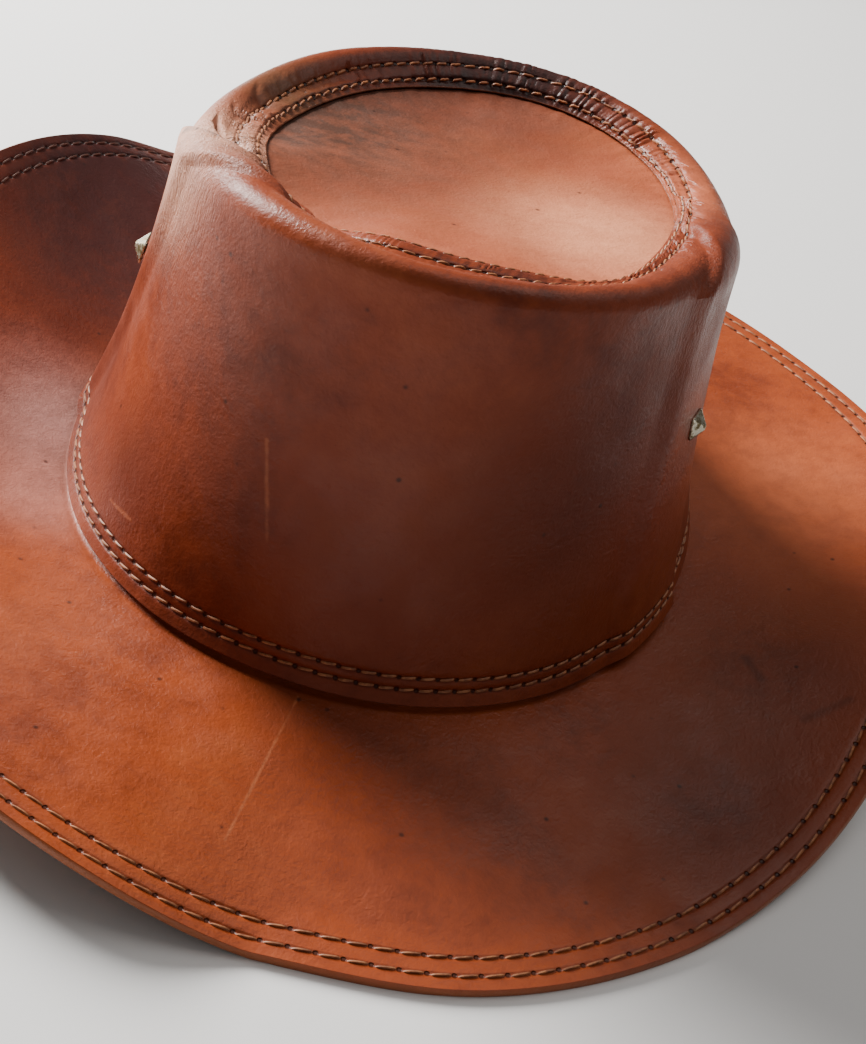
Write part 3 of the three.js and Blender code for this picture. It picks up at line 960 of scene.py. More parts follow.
@dataclass(frozen=True)
class LeatherFinish:
    """Oiled leather: cloudy dye, stains and patches of painted light and shade, scratches and lines of
    painted shadow, pores, fine grain, needle holes and a rough flesh side.
    """

    name: str
    deep: Colour
    middle: Colour
    pale: Colour
    roughness: float = 0.39
    gloss: float = 0.26
    stains_and_painted_light: tuple[StainOrPaintedLight, ...] = ()
    scratches_and_painted_shadows: tuple[ScratchOrPaintedShadow, ...] = ()
    sewings: tuple[Holes, ...] = ()
    wrinkles: tuple[Wrinkles, ...] = ()
    cut: Colour = linear(150, 88, 56)
    flesh: Colour = linear(128, 84, 62)
    dark: Colour = linear(30, 12, 8)

    clouds: Noise = Noise(0.014, 4, 0.55, 0.4)
    flecks: Noise = Noise(0.16, 6, 0.68, 0.2)
    cloud_share: float = 0.66
    fleck_share: float = 0.34
    to_middle: Mask = (0.34, 0.54, 0.0, 1.0)
    to_pale: Mask = (0.50, 0.70, 0.0, 0.7)
    ragged: Mask = (0.3, 0.7, 0.78, 1.08)
    wander: Noise = Noise(0.25, 3)
    wander_width: float = 1.2
    spot_cells: float = 0.10
    spot: Mask = (0.02, 0.10, 1.0, 0.0)
    spotty: Noise = Noise(0.05, 2)
    spot_picked: Mask = (0.44, 0.54, 0.0, 0.75)
    pores: Noise = Noise(1.7, 3, 0.7)
    pore: Mask = (0.62, 0.74, 0.0, 0.30)

    fibres: Noise = Noise(2.2, 4, 0.7)
    fibre: Mask = (0.3, 0.7, 0.0, 0.35)
    fibre_height: float = 0.25
    fibre_rough: float = 0.35
    cut_share: float = 0.8
    grain_cells: float = 1.15
    grain_height: float = 0.045
    creases: Noise = Noise(0.55, 4, 0.66, 0.3)
    crease_height: float = 0.24
    swells: Noise = Noise(0.045, 3, 0.5)
    swell_height: float = 0.8
    ridges: Noise = Noise(1.0, 3, 0.6, 1.0)
    ridge_stretch: tuple[float, float, float] = (0.9, 0.9, 0.22)
    ridge_core: float = 0.35
    groove_shade: float = 0.26
    groove_depth: float = 0.18
    hole_shade: float = 0.80
    hole_depth: float = 0.6
    bump: float = 0.9
    wear: Noise = Noise(0.06, 3, 0.6)
    wear_less: float = 0.07
    wear_more: float = 0.10

    def _dye(self, bench: Bench, place: Socket) -> Socket:
        """Base colour: two noises mix deep, middle and pale dye, then come stains and patches of painted
        light and shade, scratches and lines of painted shadow, and small marks.
        """
        clouds = bench.noise(place, self.clouds)
        flecks = bench.noise(place, self.flecks)
        blend = bench.math(
            "ADD",
            bench.math("MULTIPLY", clouds, self.cloud_share),
            bench.math("MULTIPLY", flecks, self.fleck_share),
        )
        colour = bench.mixed(bench.ranged(blend, *self.to_middle), self.deep, self.middle)
        colour = bench.mixed(bench.ranged(blend, *self.to_pale), colour, self.pale)
        rag = bench.ranged(flecks, *self.ragged)
        # stains, and patches of painted light and shade
        for stain_or_light in self.stains_and_painted_light:
            mask = bench.ranged(bench.away(place, stain_or_light.place()), 0.0, stain_or_light.radius, stain_or_light.strength, 0.0)
            colour = bench.mixed(bench.math("MULTIPLY", mask, rag, clamp=True), colour, stain_or_light.colour)
        wander = bench.math("MULTIPLY", bench.noise(place, self.wander), self.wander_width)
        wander = bench.math("SUBTRACT", wander, self.wander_width / 2)
        # scratches, and lines of painted shadow
        for line_mark in self.scratches_and_painted_shadows:
            colour = bench.mixed(self._line_mark_mask(bench, place, line_mark, wander), colour, line_mark.colour)
        spot = bench.ranged(bench.cells(place, self.spot_cells), *self.spot)
        picked = bench.ranged(bench.noise(place, self.spotty), *self.spot_picked)
        colour = bench.mixed(bench.math("MULTIPLY", spot, picked), colour, self.dark)
        return bench.mixed(bench.ranged(bench.noise(place, self.pores), *self.pore), colour, self.dark)

    @staticmethod
    def _line_mark_mask(bench: Bench, place: Socket, line_mark: ScratchOrPaintedShadow, wander: Socket) -> Socket:
        """Mask of a scratch or of a line of painted shadow: nearness to the segment from its start to its
        end, which wanders a little.
        """
        start, end = Vector(line_mark.start), Vector(line_mark.end)
        line = end - start
        away = bench.vector("SUBTRACT", place, tuple(start)).outputs[0]
        share = bench.vector("DOT_PRODUCT", away, tuple(line / line.length_squared)).outputs["Value"]
        share = bench.math("MULTIPLY", share, 1.0, clamp=True)
        across = bench.math("ADD", bench.away(away, bench.scaled(tuple(line), share)), wander)
        return bench.ranged(across, 0.0, line_mark.width, line_mark.strength, 0.0)

    def _sewn(self, bench: Bench, sewing: Holes) -> tuple[Socket, Socket]:
        """Masks of a sewing's holes and grooves: distances to whole stitches along and to rows across."""
        sewn, out, _ = bench.parts(sewing.label)
        along = bench.math("SUBTRACT", bench.math("FRACT", bench.math("ADD", sewn, 0.5)), 0.5)
        along = bench.math("MULTIPLY", along, sewing.pitch)
        holes: object = 0.0
        grooves: object = 0.0
        for row in sewing.rows:
            across = bench.math("SUBTRACT", out, row)
            squares = [bench.math("POWER", side, 2.0) for side in (along, across)]
            away = bench.math("SQRT", bench.math("ADD", *squares))
            hole = bench.ranged(away, sewing.hole * sewing.core, sewing.hole * sewing.rim, 1.0, 0.0)
            holes = bench.math("MAXIMUM", holes, hole)
            near = bench.ranged(bench.math("ABSOLUTE", across), sewing.flat, sewing.groove, 1.0, 0.0)
            grooves = bench.math("MAXIMUM", grooves, near)
        return holes, grooves

    def _height(self, bench: Bench, place: Socket, fibres: Socket, inside: Socket) -> Socket:
        """Height in millimetres: grain cells, creases, slow swells, fibres inside, and wrinkles in places."""
        grain = bench.math("MULTIPLY", bench.cells(place, self.grain_cells), self.grain_height)
        crease = bench.math("MULTIPLY", bench.noise(place, self.creases), self.crease_height)
        swell = bench.math("MULTIPLY", bench.noise(place, self.swells), self.swell_height)
        fuzz = bench.math("MULTIPLY", bench.math("MULTIPLY", fibres, inside), self.fibre_height)
        height = bench.math("ADD", bench.math("ADD", grain, crease), bench.math("ADD", fuzz, swell))
        if not self.wrinkles:
            return height
        drawn = bench.vector("MULTIPLY", place, self.ridge_stretch).outputs[0]
        ridges = bench.noise(drawn, self.ridges)
        for wrinkle in self.wrinkles:
            away = bench.away(place, wrinkle.place)
            near = bench.ranged(away, wrinkle.radius * self.ridge_core, wrinkle.radius, wrinkle.depth, 0.0)
            height = bench.math("ADD", height, bench.math("MULTIPLY", ridges, near))
        return height

    def material(self) -> bpy.types.Material:
        """Builds the leather."""
        bench = Bench(self.name)
        place = bench.place()
        colour = self._dye(bench, place)
        cut, inside, _ = bench.parts("side")
        fibres = bench.noise(place, self.fibres)
        flesh = bench.mixed(bench.ranged(fibres, *self.fibre), self.flesh, self.dark)
        colour = bench.mixed(inside, colour, flesh)
        colour = bench.mixed(bench.math("MULTIPLY", cut, self.cut_share), colour, self.cut)
        height = self._height(bench, place, fibres, inside)
        for sewing in self.sewings:
            holes, grooves = self._sewn(bench, sewing)
            colour = bench.mixed(bench.math("MULTIPLY", grooves, self.groove_shade), colour, self.dark)
            colour = bench.mixed(bench.math("MULTIPLY", holes, self.hole_shade), colour, self.dark)
            height = bench.math("SUBTRACT", height, bench.math("MULTIPLY", holes, self.hole_depth))
            height = bench.math("SUBTRACT", height, bench.math("MULTIPLY", grooves, self.groove_depth))
        bump = bench.node("ShaderNodeBump")
        bump.inputs["Strength"].default_value = self.bump
        bump.inputs["Distance"].default_value = MM
        bench.feed(bump.inputs["Height"], height)
        span = (self.roughness - self.wear_less, self.roughness + self.wear_more)
        wear = bench.ranged(bench.noise(place, self.wear), *WEAR_SPAN, *span)
        rough = bench.math("ADD", wear, bench.math("MULTIPLY", inside, self.fibre_rough), clamp=True)
        bench.feed(bench.shader.inputs["Base Color"], colour)
        bench.feed(bench.shader.inputs["Roughness"], rough)
        bench.shader.inputs["Specular IOR Level"].default_value = self.gloss
        bench.feed(bench.shader.inputs["Normal"], bump.outputs[0])
        return bench.material


@dataclass(frozen=True)
class ThreadFinish:
    """Waxed sewing thread."""

    name: str = "waxed_thread"
    colour: Colour = linear(176, 112, 70)
    shade: Colour = linear(128, 74, 44)
    # painted shade: the thread darker round the shaded left back of the brim
    painted_shade: Colour = linear(66, 32, 25)
    shaded_place: tuple[float, float, float] = (-130.0, 75.0, 22.0)
    shaded_radius: float = 100.0
    shaded_share: float = 0.9
    roughness: float = 0.55
    twist: Noise = Noise(0.6, 3)
    to_shade: Mask = (0.35, 0.65, 0.0, 1.0)

    def material(self) -> bpy.types.Material:
        """Builds the thread: two close hues, mixed by a fine noise, and painted shade round one place, the
        shaded left back of the brim.
        """
        bench = Bench(self.name)
        place = bench.place()
        mix = bench.ranged(bench.noise(place, self.twist), *self.to_shade)
        colour = bench.mixed(mix, self.colour, self.shade)
        away = bench.away(place, self.shaded_place)
        shaded = bench.ranged(away, self.shaded_radius / 2, self.shaded_radius, self.shaded_share, 0.0)
        bench.feed(bench.shader.inputs["Base Color"], bench.mixed(shaded, colour, self.painted_shade))
        bench.shader.inputs["Roughness"].default_value = self.roughness
        return bench.material


@dataclass(frozen=True)
class MetalFinish:
    """Aged stud metal, between dull brass and nickel."""

    name: str = "aged_stud_metal"
    bright: Colour = linear(206, 200, 180)
    tarnish: Colour = linear(112, 98, 66)
    roughness: float = 0.24
    tarnish_rough: float = 0.2
    patches: Noise = Noise(0.55, 4, 0.6)
    patch: Mask = (0.42, 0.62, 0.0, 1.0)

    def material(self) -> bpy.types.Material:
        """Builds the metal: bright faces with patches of tarnish, which are rougher."""
        bench = Bench(self.name)
        place = bench.place()
        patch = bench.ranged(bench.noise(place, self.patches), *self.patch)
        bench.feed(bench.shader.inputs["Base Color"], bench.mixed(patch, self.bright, self.tarnish))
        bench.shader.inputs["Metallic"].default_value = 1.0
        rough = bench.ranged(patch, 0.0, 1.0, self.roughness, self.roughness + self.tarnish_rough)
        bench.feed(bench.shader.inputs["Roughness"], rough)
        return bench.material


@dataclass(frozen=True)
class BackdropFinish:
    """Plain pale floor."""

    name: str = "pale_floor"
    colour: Colour = (0.92, 0.92, 0.92)
    roughness: float = 0.9

    def material(self) -> bpy.types.Material:
        """Builds the floor's paint."""
        bench = Bench(self.name)
        bench.shader.inputs["Base Color"].default_value = (*self.colour, 1.0)
        bench.shader.inputs["Roughness"].default_value = self.roughness
        return bench.material


CROWN_STAINS_AND_PAINTED_LIGHT = (
    # painted shade: the front wall darker towards its lower right, away from the light
    StainOrPaintedLight(60, -55, 62, 66, linear(78, 24, 9), 0.75),
    # painted shade on the middle of the front wall
    StainOrPaintedLight(15, -100, 45, 60, linear(92, 34, 16), 0.5),
    StainOrPaintedLight(-52, -86, 32, 30, linear(74, 27, 18), 0.6),
    # painted highlight on the roll at the front left
    StainOrPaintedLight(-66, -44, 114, 44, linear(232, 176, 146), 0.75),
    # painted sheen, darker and pinker, low on the left of the wall
    StainOrPaintedLight(-84, -40, 40, 42, linear(112, 58, 46), 0.5),
    # painted shade on the right of the wall
    StainOrPaintedLight(86, -30, 52, 44, linear(136, 52, 24), 0.6),
    # painted shade on the back of the flange and rim
    StainOrPaintedLight(-20, 70, 100, 72, linear(50, 20, 16), 1.1),
    # painted shade: the shaded olive section of the flange at the left seam
    StainOrPaintedLight(-62, 8, 98, 34, linear(98, 68, 46), 0.8),
    # painted light: the flange at the right back lit salmon
    StainOrPaintedLight(50, 36, 106, 40, linear(186, 102, 70), 0.8),
)

CROWN_WRINKLES = (
    Wrinkles((-68.0, -46.0, 112.0), 50.0, 0.9),
    Wrinkles((78.0, -20.0, 104.0), 34.0, 0.6),
)

CROWN_SCRATCHES_AND_PAINTED_SHADOWS = (
    ScratchOrPaintedShadow((-11.0, -93.3, 69.3), (-3.9, -97.8, 45.0), 1.0, 0.5, linear(206, 130, 88)),
    ScratchOrPaintedShadow((-52.3, -82.9, 22.3), (-43.2, -89.2, 24.6), 0.8, 0.35, linear(196, 120, 84)),
    ScratchOrPaintedShadow((-80.0, -46.0, 44.0), (-66.0, -66.0, 33.0), 0.9, 0.35, linear(196, 128, 96)),
    # painted shadow: the dark wedge under the front panel's raw end at the left seam (this row and the next)
    ScratchOrPaintedShadow((-65.5, -44.5, 109.0), (-54.0, -51.5, 115.0), 2.2, 0.65, linear(60, 36, 26)),
    ScratchOrPaintedShadow((-53.5, -48.0, 113.5), (-44.0, -46.0, 110.0), 5.5, 1.0, linear(38, 22, 16)),
)

TOP_PAINTED_LIGHT = (
    # painted shadow of the rim on the left back of the top
    StainOrPaintedLight(-72, 10, 100, 136, linear(76, 48, 37), 1.15),
    # painted shadow under the back of the rim
    StainOrPaintedLight(-26, 76, 97, 70, linear(64, 32, 24), 0.8),
    # painted sheen on the right of the top
    StainOrPaintedLight(38, -8, 112, 50, linear(240, 160, 120), 0.8),
)

BRIM_STAINS_AND_PAINTED_LIGHT = (
    # painted shade on the left back of the brim, which faces away from the light (this row and the next)
    StainOrPaintedLight(-125, 70, 22, 108, linear(58, 24, 22), 1.2),
    StainOrPaintedLight(-118, 34, 20, 74, linear(70, 32, 28), 0.95),
    # painted highlight and sheen on the left of the brim (this row and the next two)
    StainOrPaintedLight(-94, -40, 6, 40, linear(214, 164, 156), 0.55),
    StainOrPaintedLight(-80, -72, 6, 34, linear(206, 150, 138), 0.45),
    StainOrPaintedLight(-118, -66, 12, 40, linear(168, 108, 94), 0.4),
    # painted shadow of the crown on the right of the brim
    StainOrPaintedLight(118, -20, 10, 66, linear(92, 42, 28), 0.8),
    StainOrPaintedLight(60, -125, 6, 60, linear(120, 50, 24), 0.45),
    # painted shadow of the crown on the right front of the brim
    StainOrPaintedLight(120, -75, 8, 52, linear(84, 34, 21), 0.85),
    # painted light on the front left of the brim
    StainOrPaintedLight(-60, -125, 6, 46, linear(172, 84, 44), 0.45),
    # painted light on the right back of the brim
    StainOrPaintedLight(105, 66, 12, 62, linear(190, 104, 66), 0.6),
    StainOrPaintedLight(20, -112, 10, 34, linear(110, 44, 24), 0.5),
)

BRIM_SCRATCHES = (
    ScratchOrPaintedShadow((15.5, -105.6, 9.3), (20.2, -154.0, 6.5), 0.6, 0.36, linear(190, 116, 76)),
    ScratchOrPaintedShadow((113.1, -17.6, 8.1), (118.9, -23.6, 8.6), 2.6, 0.45, linear(52, 20, 14)),
    ScratchOrPaintedShadow((133.5, -33.6, 10.4), (142.6, -22.9, 14.4), 2.2, 0.35, linear(52, 20, 14)),
)


def dress(piece: bpy.types.Object, material: bpy.types.Material, node: str | None = None) -> None:
    """Gives a piece its material and slot, sets it on the root body, and hides the solid it stands for."""
    piece.data.materials.clear()
    piece.data.materials.append(material)
    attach(piece, "root")
    if node:
        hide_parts(node)


# ---------------------------------------------------------------- sub-assemblies


@dataclass(frozen=True)
class Thread:
    """A row of stitches, each a short bent bar of thread that goes down into the leather at both ends."""

    radius: float = 0.38
    lift: float = 0.16
    sink: float = 0.70
    cover: float = 0.90
    slant: float = 0.5
    thinning: float = 0.35
    rings: int = 7
    sides: int = 6

    def row(self, sewing: Sewing, azimuth: Array, points: Array, normals: Array) -> MeshData:
        """Stitches along a closed line.

        A stitch at share t of its length lies at lift - sink |2t - 1|^4 over the leather, slanted
        across by slant (t - 1/2). Its section is a ring of radius less thinning |2t - 1|^3 of it.

        Args:
            sewing: Says where each stitch starts.
            azimuth: Azimuths of the line's points, rising, within one lap.
            points: The line on the leather.
            normals: Directions away from the leather.

        Returns:
            The mesh's data.
        """
        count = sewing.whole()
        t = np.linspace(0, 1, self.rings)
        stitches = np.arange(count)[:, None] + 0.5 + self.cover * (t - 0.5)
        at = np.mod(sewing.azimuth_of(stitches) - azimuth[0], 360) + azimuth[0]
        lap = np.append(azimuth, azimuth[0] + 360)

        def carried(values: Array) -> Array:
            """The line's vectors at the stitches' points."""
            return np.stack([np.interp(at, lap, np.append(column, column[0])) for column in values.T], -1)

        line, up = carried(points), unit(carried(normals))
        along = unit(np.gradient(line, axis=1))
        across = unit(np.cross(up, along))
        over = self.lift - self.sink * np.abs(2 * t - 1) ** 4
        line = line + up * over[:, None] + across * (self.slant * (t - 0.5))[:, None]
        thick = self.radius * (1 - self.thinning * np.abs(2 * t - 1) ** 3)
        turn = np.linspace(0, 2 * math.pi, self.sides, endpoint=False)
        ring = np.cos(turn)[:, None] * across[:, :, None] + np.sin(turn)[:, None] * up[:, :, None]
        solid = line[:, :, None] + ring * thick[:, None, None]
        size = self.rings * self.sides
        starts = (np.arange(count) * size)[:, None, None]
        faces = (starts + tube(self.rings, self.sides)).reshape(-1, 4).tolist()
        cap = np.arange(self.sides)
        faces += (starts[:, 0] + cap[::-1]).tolist()
        faces += (starts[:, 0] + size - self.sides + cap).tolist()
        return MeshData(solid.reshape(-1, 3), faces)

    @staticmethod
    def joined(parts: Sequence[MeshData]) -> MeshData:
        """Several rows as one mesh."""
        faces: list = []
        start = 0
        for part in parts:
            faces += [[start + v for v in face] for face in part.faces]
            start += len(part.vertices)
        return MeshData(np.concatenate([part.vertices for part in parts]), faces)


@dataclass
class Crown:
    """The two crown panels, which lap at the sides, with their hem and their gathered flange."""

    form: HatForm
    steps: CrownSteps = CrownSteps()
    column: float = 0.5
    lap: float = 12.0
    lap_margin: float = 3.0
    lap_ramp: float = 6.0
    pare_depth: float = 1.25
    pare_width: float = 3.0
    slant_full: float = 24.0
    slant_none: float = 110.0
    pleats: int = 168
    pleat_slant: float = 0.035
    pleat_power: float = 0.7
    pleat_own: tuple[float, float, float] = (0.70, 0.12, 1.3)
    pleat_reach: tuple[float, float, float, float] = (-1.5, 3.0, 8.0, 17.0)
    wrinkles: int = 92
    wrinkle_slant: float = 0.09
    wrinkle_power: float = 0.6
    wrinkle_own: tuple[float, float, float] = (0.6, 0, 1.3)
    wrinkle_reach: tuple[float, float, float, float] = (9.0, 15.0, 20.0, 42.0)
    fold_taper: tuple[float, float, float] = (2, 3, 8)
    wave_slant: float = 0.15
    wave_reach: tuple[float, float, float, float] = (18, 45, 75, 98)
    groove_width: float = 0.9
    hem_groove: float = 0.35
    rim_groove: float = 0.40
    hem_rows: tuple[float, ...] = (4.0, 7.4)
    rim_rows: tuple[float, ...] = (2.0, 7.2)
    hem_pitch: float = 5.2
    rim_pitch: float = 4.1

    def sewings(self) -> tuple[Sewing, Sewing]:
        """The sewing at the hem and the one round the top."""
        lap = np.arange(0, 360, 1.0)
        hem = self.form.hem(lap, self.form.hem_drop / 4)
        top = self.form.top_place(lap, 1.0, around(CROWN_ROWS, "ledge", lap))
        rim = shifted(top, self.form.outward(lap), sum(self.rim_rows) / 2, 0)
        return (
            Sewing("hem_sewing", self.hem_rows, self.hem_pitch, hem),
            Sewing("rim_sewing", self.rim_rows, self.rim_pitch, rim),
        )

    def _lap_rise(self, from_end: Array) -> Array:
        """Rise of the upper panel by the distance to its end: full to a margin past the lap, then a ramp."""
        past = from_end - self.lap - self.lap_margin
        return (self.form.crown_leather + self.form.gap) * (1 - smooth_step(past, 0, self.lap_ramp))

    def _gathers(self, azimuth: Array, distance: Array) -> Array:
        """Height of the flange's pleats: |sin(pi n)| to a power, where n counts pleats of a wandering pitch.

        The pleats start a little way in from the raw edge, slant with the distance, and die out over
        the roll. Their height wanders too, between limits, and follows the table.
        """
        middle, least, most = self.pleat_own
        count = self.pleats * azimuth / 360 + waves(azimuth, PLEAT_WANDER) + self.pleat_slant * distance
        proud = np.abs(np.sin(math.pi * count)) ** self.pleat_power
        own = np.clip(middle + waves(azimuth, PLEAT_HEIGHTS), least, most)
        return around(GATHER_ROWS, "pleat", azimuth) * own * proud * window(distance, *self.pleat_reach)

    def _wrinkles(self, azimuth: Array, distance: Array) -> Array:
        """Fine folds that run down from the rim: ridged waves whose height fades down the wall."""
        middle, least, most = self.wrinkle_own
        a = azimuth + self.wrinkle_slant * distance
        count = self.wrinkles * a / 360 + waves(a, WRINKLE_WANDER)
        ridge = 1 - np.abs(np.sin(math.pi * count)) ** self.wrinkle_power
        own = np.clip(middle + waves(a, WRINKLE_HEIGHTS), least, most)
        return -around(GATHER_ROWS, "wrinkle", azimuth) * own * ridge * window(distance, *self.wrinkle_reach)

    def _folds(self, azimuth: Array, distance: Array, folds: Sequence[Fold]) -> Array:
        """Single creases: height * bell of the distance to the fold's line, tapered to its ends."""
        total = np.zeros_like(distance)
        for fold in folds:
            share = np.clip((distance - fold.start) / (fold.end - fold.start), 0, 1)
            centre = fold.azimuth + (fold.end_azimuth - fold.azimuth) * share
            across = np.radians(half_turn(azimuth - centre)) * self.form.rim_oval.half_width
            before, after, fade = self.fold_taper
            taper = window(distance, fold.start - before, fold.start + after, fold.end - fade, fold.end)
            total += fold.height * bell(across, fold.width) * taper
        return total

    def _soft(self, azimuth: Array, height: Array) -> Array:
        """Slow waves of the wall, which die out at its foot and its roll."""
        return waves(azimuth + self.wave_slant * height, WALL_WAVES) * window(height, *self.wave_reach)

    def panel(self, start: Array, end: Array, upper: bool) -> Sheet:
        """One crown panel. Its columns slant as its raw ends do, and turn upright away from them.

        Args:
            start: Azimuth of its first raw end at every row.
            end: Azimuth of its last raw end at every row.
            upper: Whether it lies over the other panel at both ends.

        Returns:
            The sheet, with its gathers and its grooves.
        """
        rim = int(np.argmax(self.steps.places() >= 1))
        low, high = start[rim], end[rim]
        columns = round((high - low) / self.column) + 1
        step = (high - low) / (columns - 1)
        upright = low + step * np.arange(-1, columns + 1)
        near_start = 1 - smooth_step(upright - low, self.slant_full, self.slant_none)
        near_end = 1 - smooth_step(high - upright, self.slant_full, self.slant_none)
        azimuth = upright[:, None] + np.outer(near_start, start - low) + np.outer(near_end, end - high)
        sheet = Sheet(azimuth, self.form.crown(azimuth, self.steps), False)
        azimuth = sheet.azimuth
        from_hem, from_rim = sheet.distance(End.FIRST), sheet.distance(End.LAST)
        height = self._gathers(azimuth, from_rim) + self._wrinkles(azimuth, from_rim)
        height += self._folds(azimuth, from_rim, UPPER_FOLDS if upper else LOWER_FOLDS)
        height += self._soft(azimuth, sheet.points[..., 2])
        height += grooves(from_hem, self.hem_rows, self.hem_groove, self.groove_width)
        height += grooves(from_rim, self.rim_rows, self.rim_groove, self.groove_width)
        if upper:
            from_end = np.minimum(upright - low, high - upright)[1:-1]
            height += self._lap_rise(from_end)[:, None]
        sheet.raise_by(height)
        sheet.pare(End.LAST, self.pare_depth, self.pare_width)
        return sheet

    def build(self, finish: LeatherFinish, thread: Thread, thread_material: bpy.types.Material) -> None:
        """Makes both panels and the stitches at the hem and the rim."""
        hem, rim = self.sewings()
        sewn = {End.FIRST: hem, End.LAST: rim}
        leather = self.form.crown_leather
        places = self.steps.places()
        left, right = seam(Side.LEFT, places), seam(Side.RIGHT, places)
        front = self.panel(left, right + 360, True)
        back = self.panel(right - self.lap, left + self.lap, False)
        material = finish.material()
        panels = ((front, "front_crown_panel", "crown_front"), (back, "back_crown_panel", "crown_back"))
        for sheet, name, node in panels:
            dress(sheet.data(leather, sewn).make(name), material, node)
        for sewing, end, name in ((hem, End.FIRST, "hem_stitches"), (rim, End.LAST, "rim_stitches")):
            parts = []
            for row in sewing.rows:
                over = front.row(end, row, Face.GRAIN, leather)
                under = back.row(end, row, Face.GRAIN, leather)
                shown = (under[0] > over[0][-1] - 360) & (under[0] < over[0][0])
                azimuth, points, normals = (np.concatenate([u[shown], o]) for u, o in zip(under, over))
                parts.append(thread.row(sewing, azimuth, points, normals))
            dress(Thread.joined(parts).make(name), thread_material)


@dataclass
class Top:
    """The top panel, slightly dished, with creases that run in from its edge."""

    form: HatForm
    columns: int = 480
    rings: int = 64
    edge_steps: int = 3
    edge_bulge: float = 0.3
    crease_start: float = 0.80
    wave_start: float = 0.25
    wave_full: float = 0.8
    wave_fade: float = 0.7

    def _creases(self, azimuth: Array, share: Array) -> Array:
        """Fine creases at the edge, and slow waves that run in from it."""
        near = smooth_step(share, self.crease_start, 1.0)
        slow = waves(azimuth, TOP_WAVES) * smooth_step(share, self.wave_start, self.wave_full)
        return waves(azimuth, TOP_CREASES) * near + slow * (1 - self.wave_fade * near)

    def data(self) -> MeshData:
        """The panel's mesh: rings on both faces, joined round a raw edge and closed at the middle."""
        form = self.form
        azimuth = np.arange(self.columns) * 360 / self.columns
        outer = 1 + form.top_margin / form.top_oval.half_width
        share = np.linspace(outer / self.rings, outer, self.rings)
        a, s = np.meshgrid(azimuth, share, indexing="ij")
        upper = form.top_place(a, s, form.top_height(a, s) + self._creases(a, s))
        lower = upper - np.array([0, 0, form.crown_leather])
        angles = np.linspace(0, math.pi, self.edge_steps + 2)[1:-1]
        out = form.outward(azimuth)
        half, bulge = form.crown_leather / 2, self.edge_bulge
        edge = [shifted(upper[:, -1], out, bulge * math.sin(t), half * (math.cos(t) - 1)) for t in angles]
        loops = np.concatenate([upper, np.stack(edge, 1), lower[:, ::-1]], 1)
        size = loops.shape[1]
        j, i = grid(self.columns, size - 1)
        here, beside = j * size + i, (j + 1) % self.columns * size + i
        faces = np.stack([here, here + 1, beside + 1, beside], 1).tolist()
        j = np.arange(self.columns)
        after = (j + 1) % self.columns
        pole = self.columns * size
        middle = form.top_height(np.zeros(1), np.zeros(1))[0]
        x, y = form.top_oval.x, form.top_oval.y
        poles = np.array([[x, y, middle], [x, y, middle - form.crown_leather]])
        first, beside = j * size, after * size
        faces += np.stack([np.full_like(j, pole), first, beside], 1).tolist()
        faces += np.stack([np.full_like(j, pole + 1), beside + size - 1, first + size - 1], 1).tolist()
        inside = self.rings + self.edge_steps
        flags = np.zeros((self.columns, size, 3))
        flags[:, self.rings:inside, 0] = 1
        flags[:, inside:, 1] = 1
        flags = np.concatenate([flags.reshape(-1, 3), [[0, 0, 0], [0, 1, 0]]])
        return MeshData(np.concatenate([loops.reshape(-1, 3), poles]), faces, points={"side": flags})

    def build(self, finish: LeatherFinish) -> None:
        """Makes the panel."""
        dress(self.data().make("top_panel"), finish.material(), "crown_tip")


@dataclass
class Brim:
    """The wavy brim with its collar, and two rows of stitches near its edge."""

    form: HatForm
    steps: BrimSteps = BrimSteps()
    columns: int = 540
    rows: tuple[float, ...] = (3.6, 8.6)
    pitch: float = 6.2
    collar_width: float = 20
    wave_slant: float = 0.35
    wave_reach: tuple[float, float, float, float] = (6, 30, 22, 4)
    groove: float = 0.30
    groove_width: float = 0.9
    floor_gap: float = 0.1

    def sheet(self) -> Sheet:
        """The brim's leather, with slow waves and the grooves of its stitches."""
        azimuth = np.arange(self.columns) * 360 / self.columns
        points = self.form.brim(azimuth, self.steps)
        a = azimuth[:, None].repeat(points.shape[1], 1)
        sheet = Sheet(a, points, True)
        distance = sheet.distance(End.FIRST)
        width = distance[:, -1:] - self.collar_width
        start, full, fade, end = self.wave_reach
        slow = waves(a + self.wave_slant * distance, BRIM_WAVES)
        height = slow * window(distance, start, full, width - fade, width - end)
        sheet.raise_by(height + grooves(distance, self.rows, self.groove, self.groove_width))
        return sheet

    def sewing(self, sheet: Sheet) -> Sewing:
        """The sewing at the brim's edge."""
        middle = sum(self.rows) / len(self.rows)
        _, line, _ = sheet.row(End.FIRST, middle, Face.GRAIN, self.form.brim_leather)
        return Sewing("edge_sewing", self.rows, self.pitch, line)

    def build(self, finish: LeatherFinish, thread: Thread, thread_material: bpy.types.Material) -> None:
        """Makes the brim and its stitches."""
        leather = self.form.brim_leather
        sheet = self.sheet()
        sewing = self.sewing(sheet)
        piece = sheet.data(leather, {End.FIRST: sewing}, 0.0).make("wavy_brim")
        dress(piece, finish.material(), "brim")
        for face, name in ((Face.GRAIN, "brim_stitches_above"), (Face.FLESH, "brim_stitches_below")):
            parts = []
            for row in sewing.rows:
                azimuth, points, normals = sheet.row(End.FIRST, row, face, leather)
                low = leather if face is Face.GRAIN else thread.radius + self.floor_gap
                points[:, 2] = np.maximum(points[:, 2], low)
                parts.append(thread.row(sewing, azimuth, points, normals))
            dress(Thread.joined(parts).make(name), thread_material)


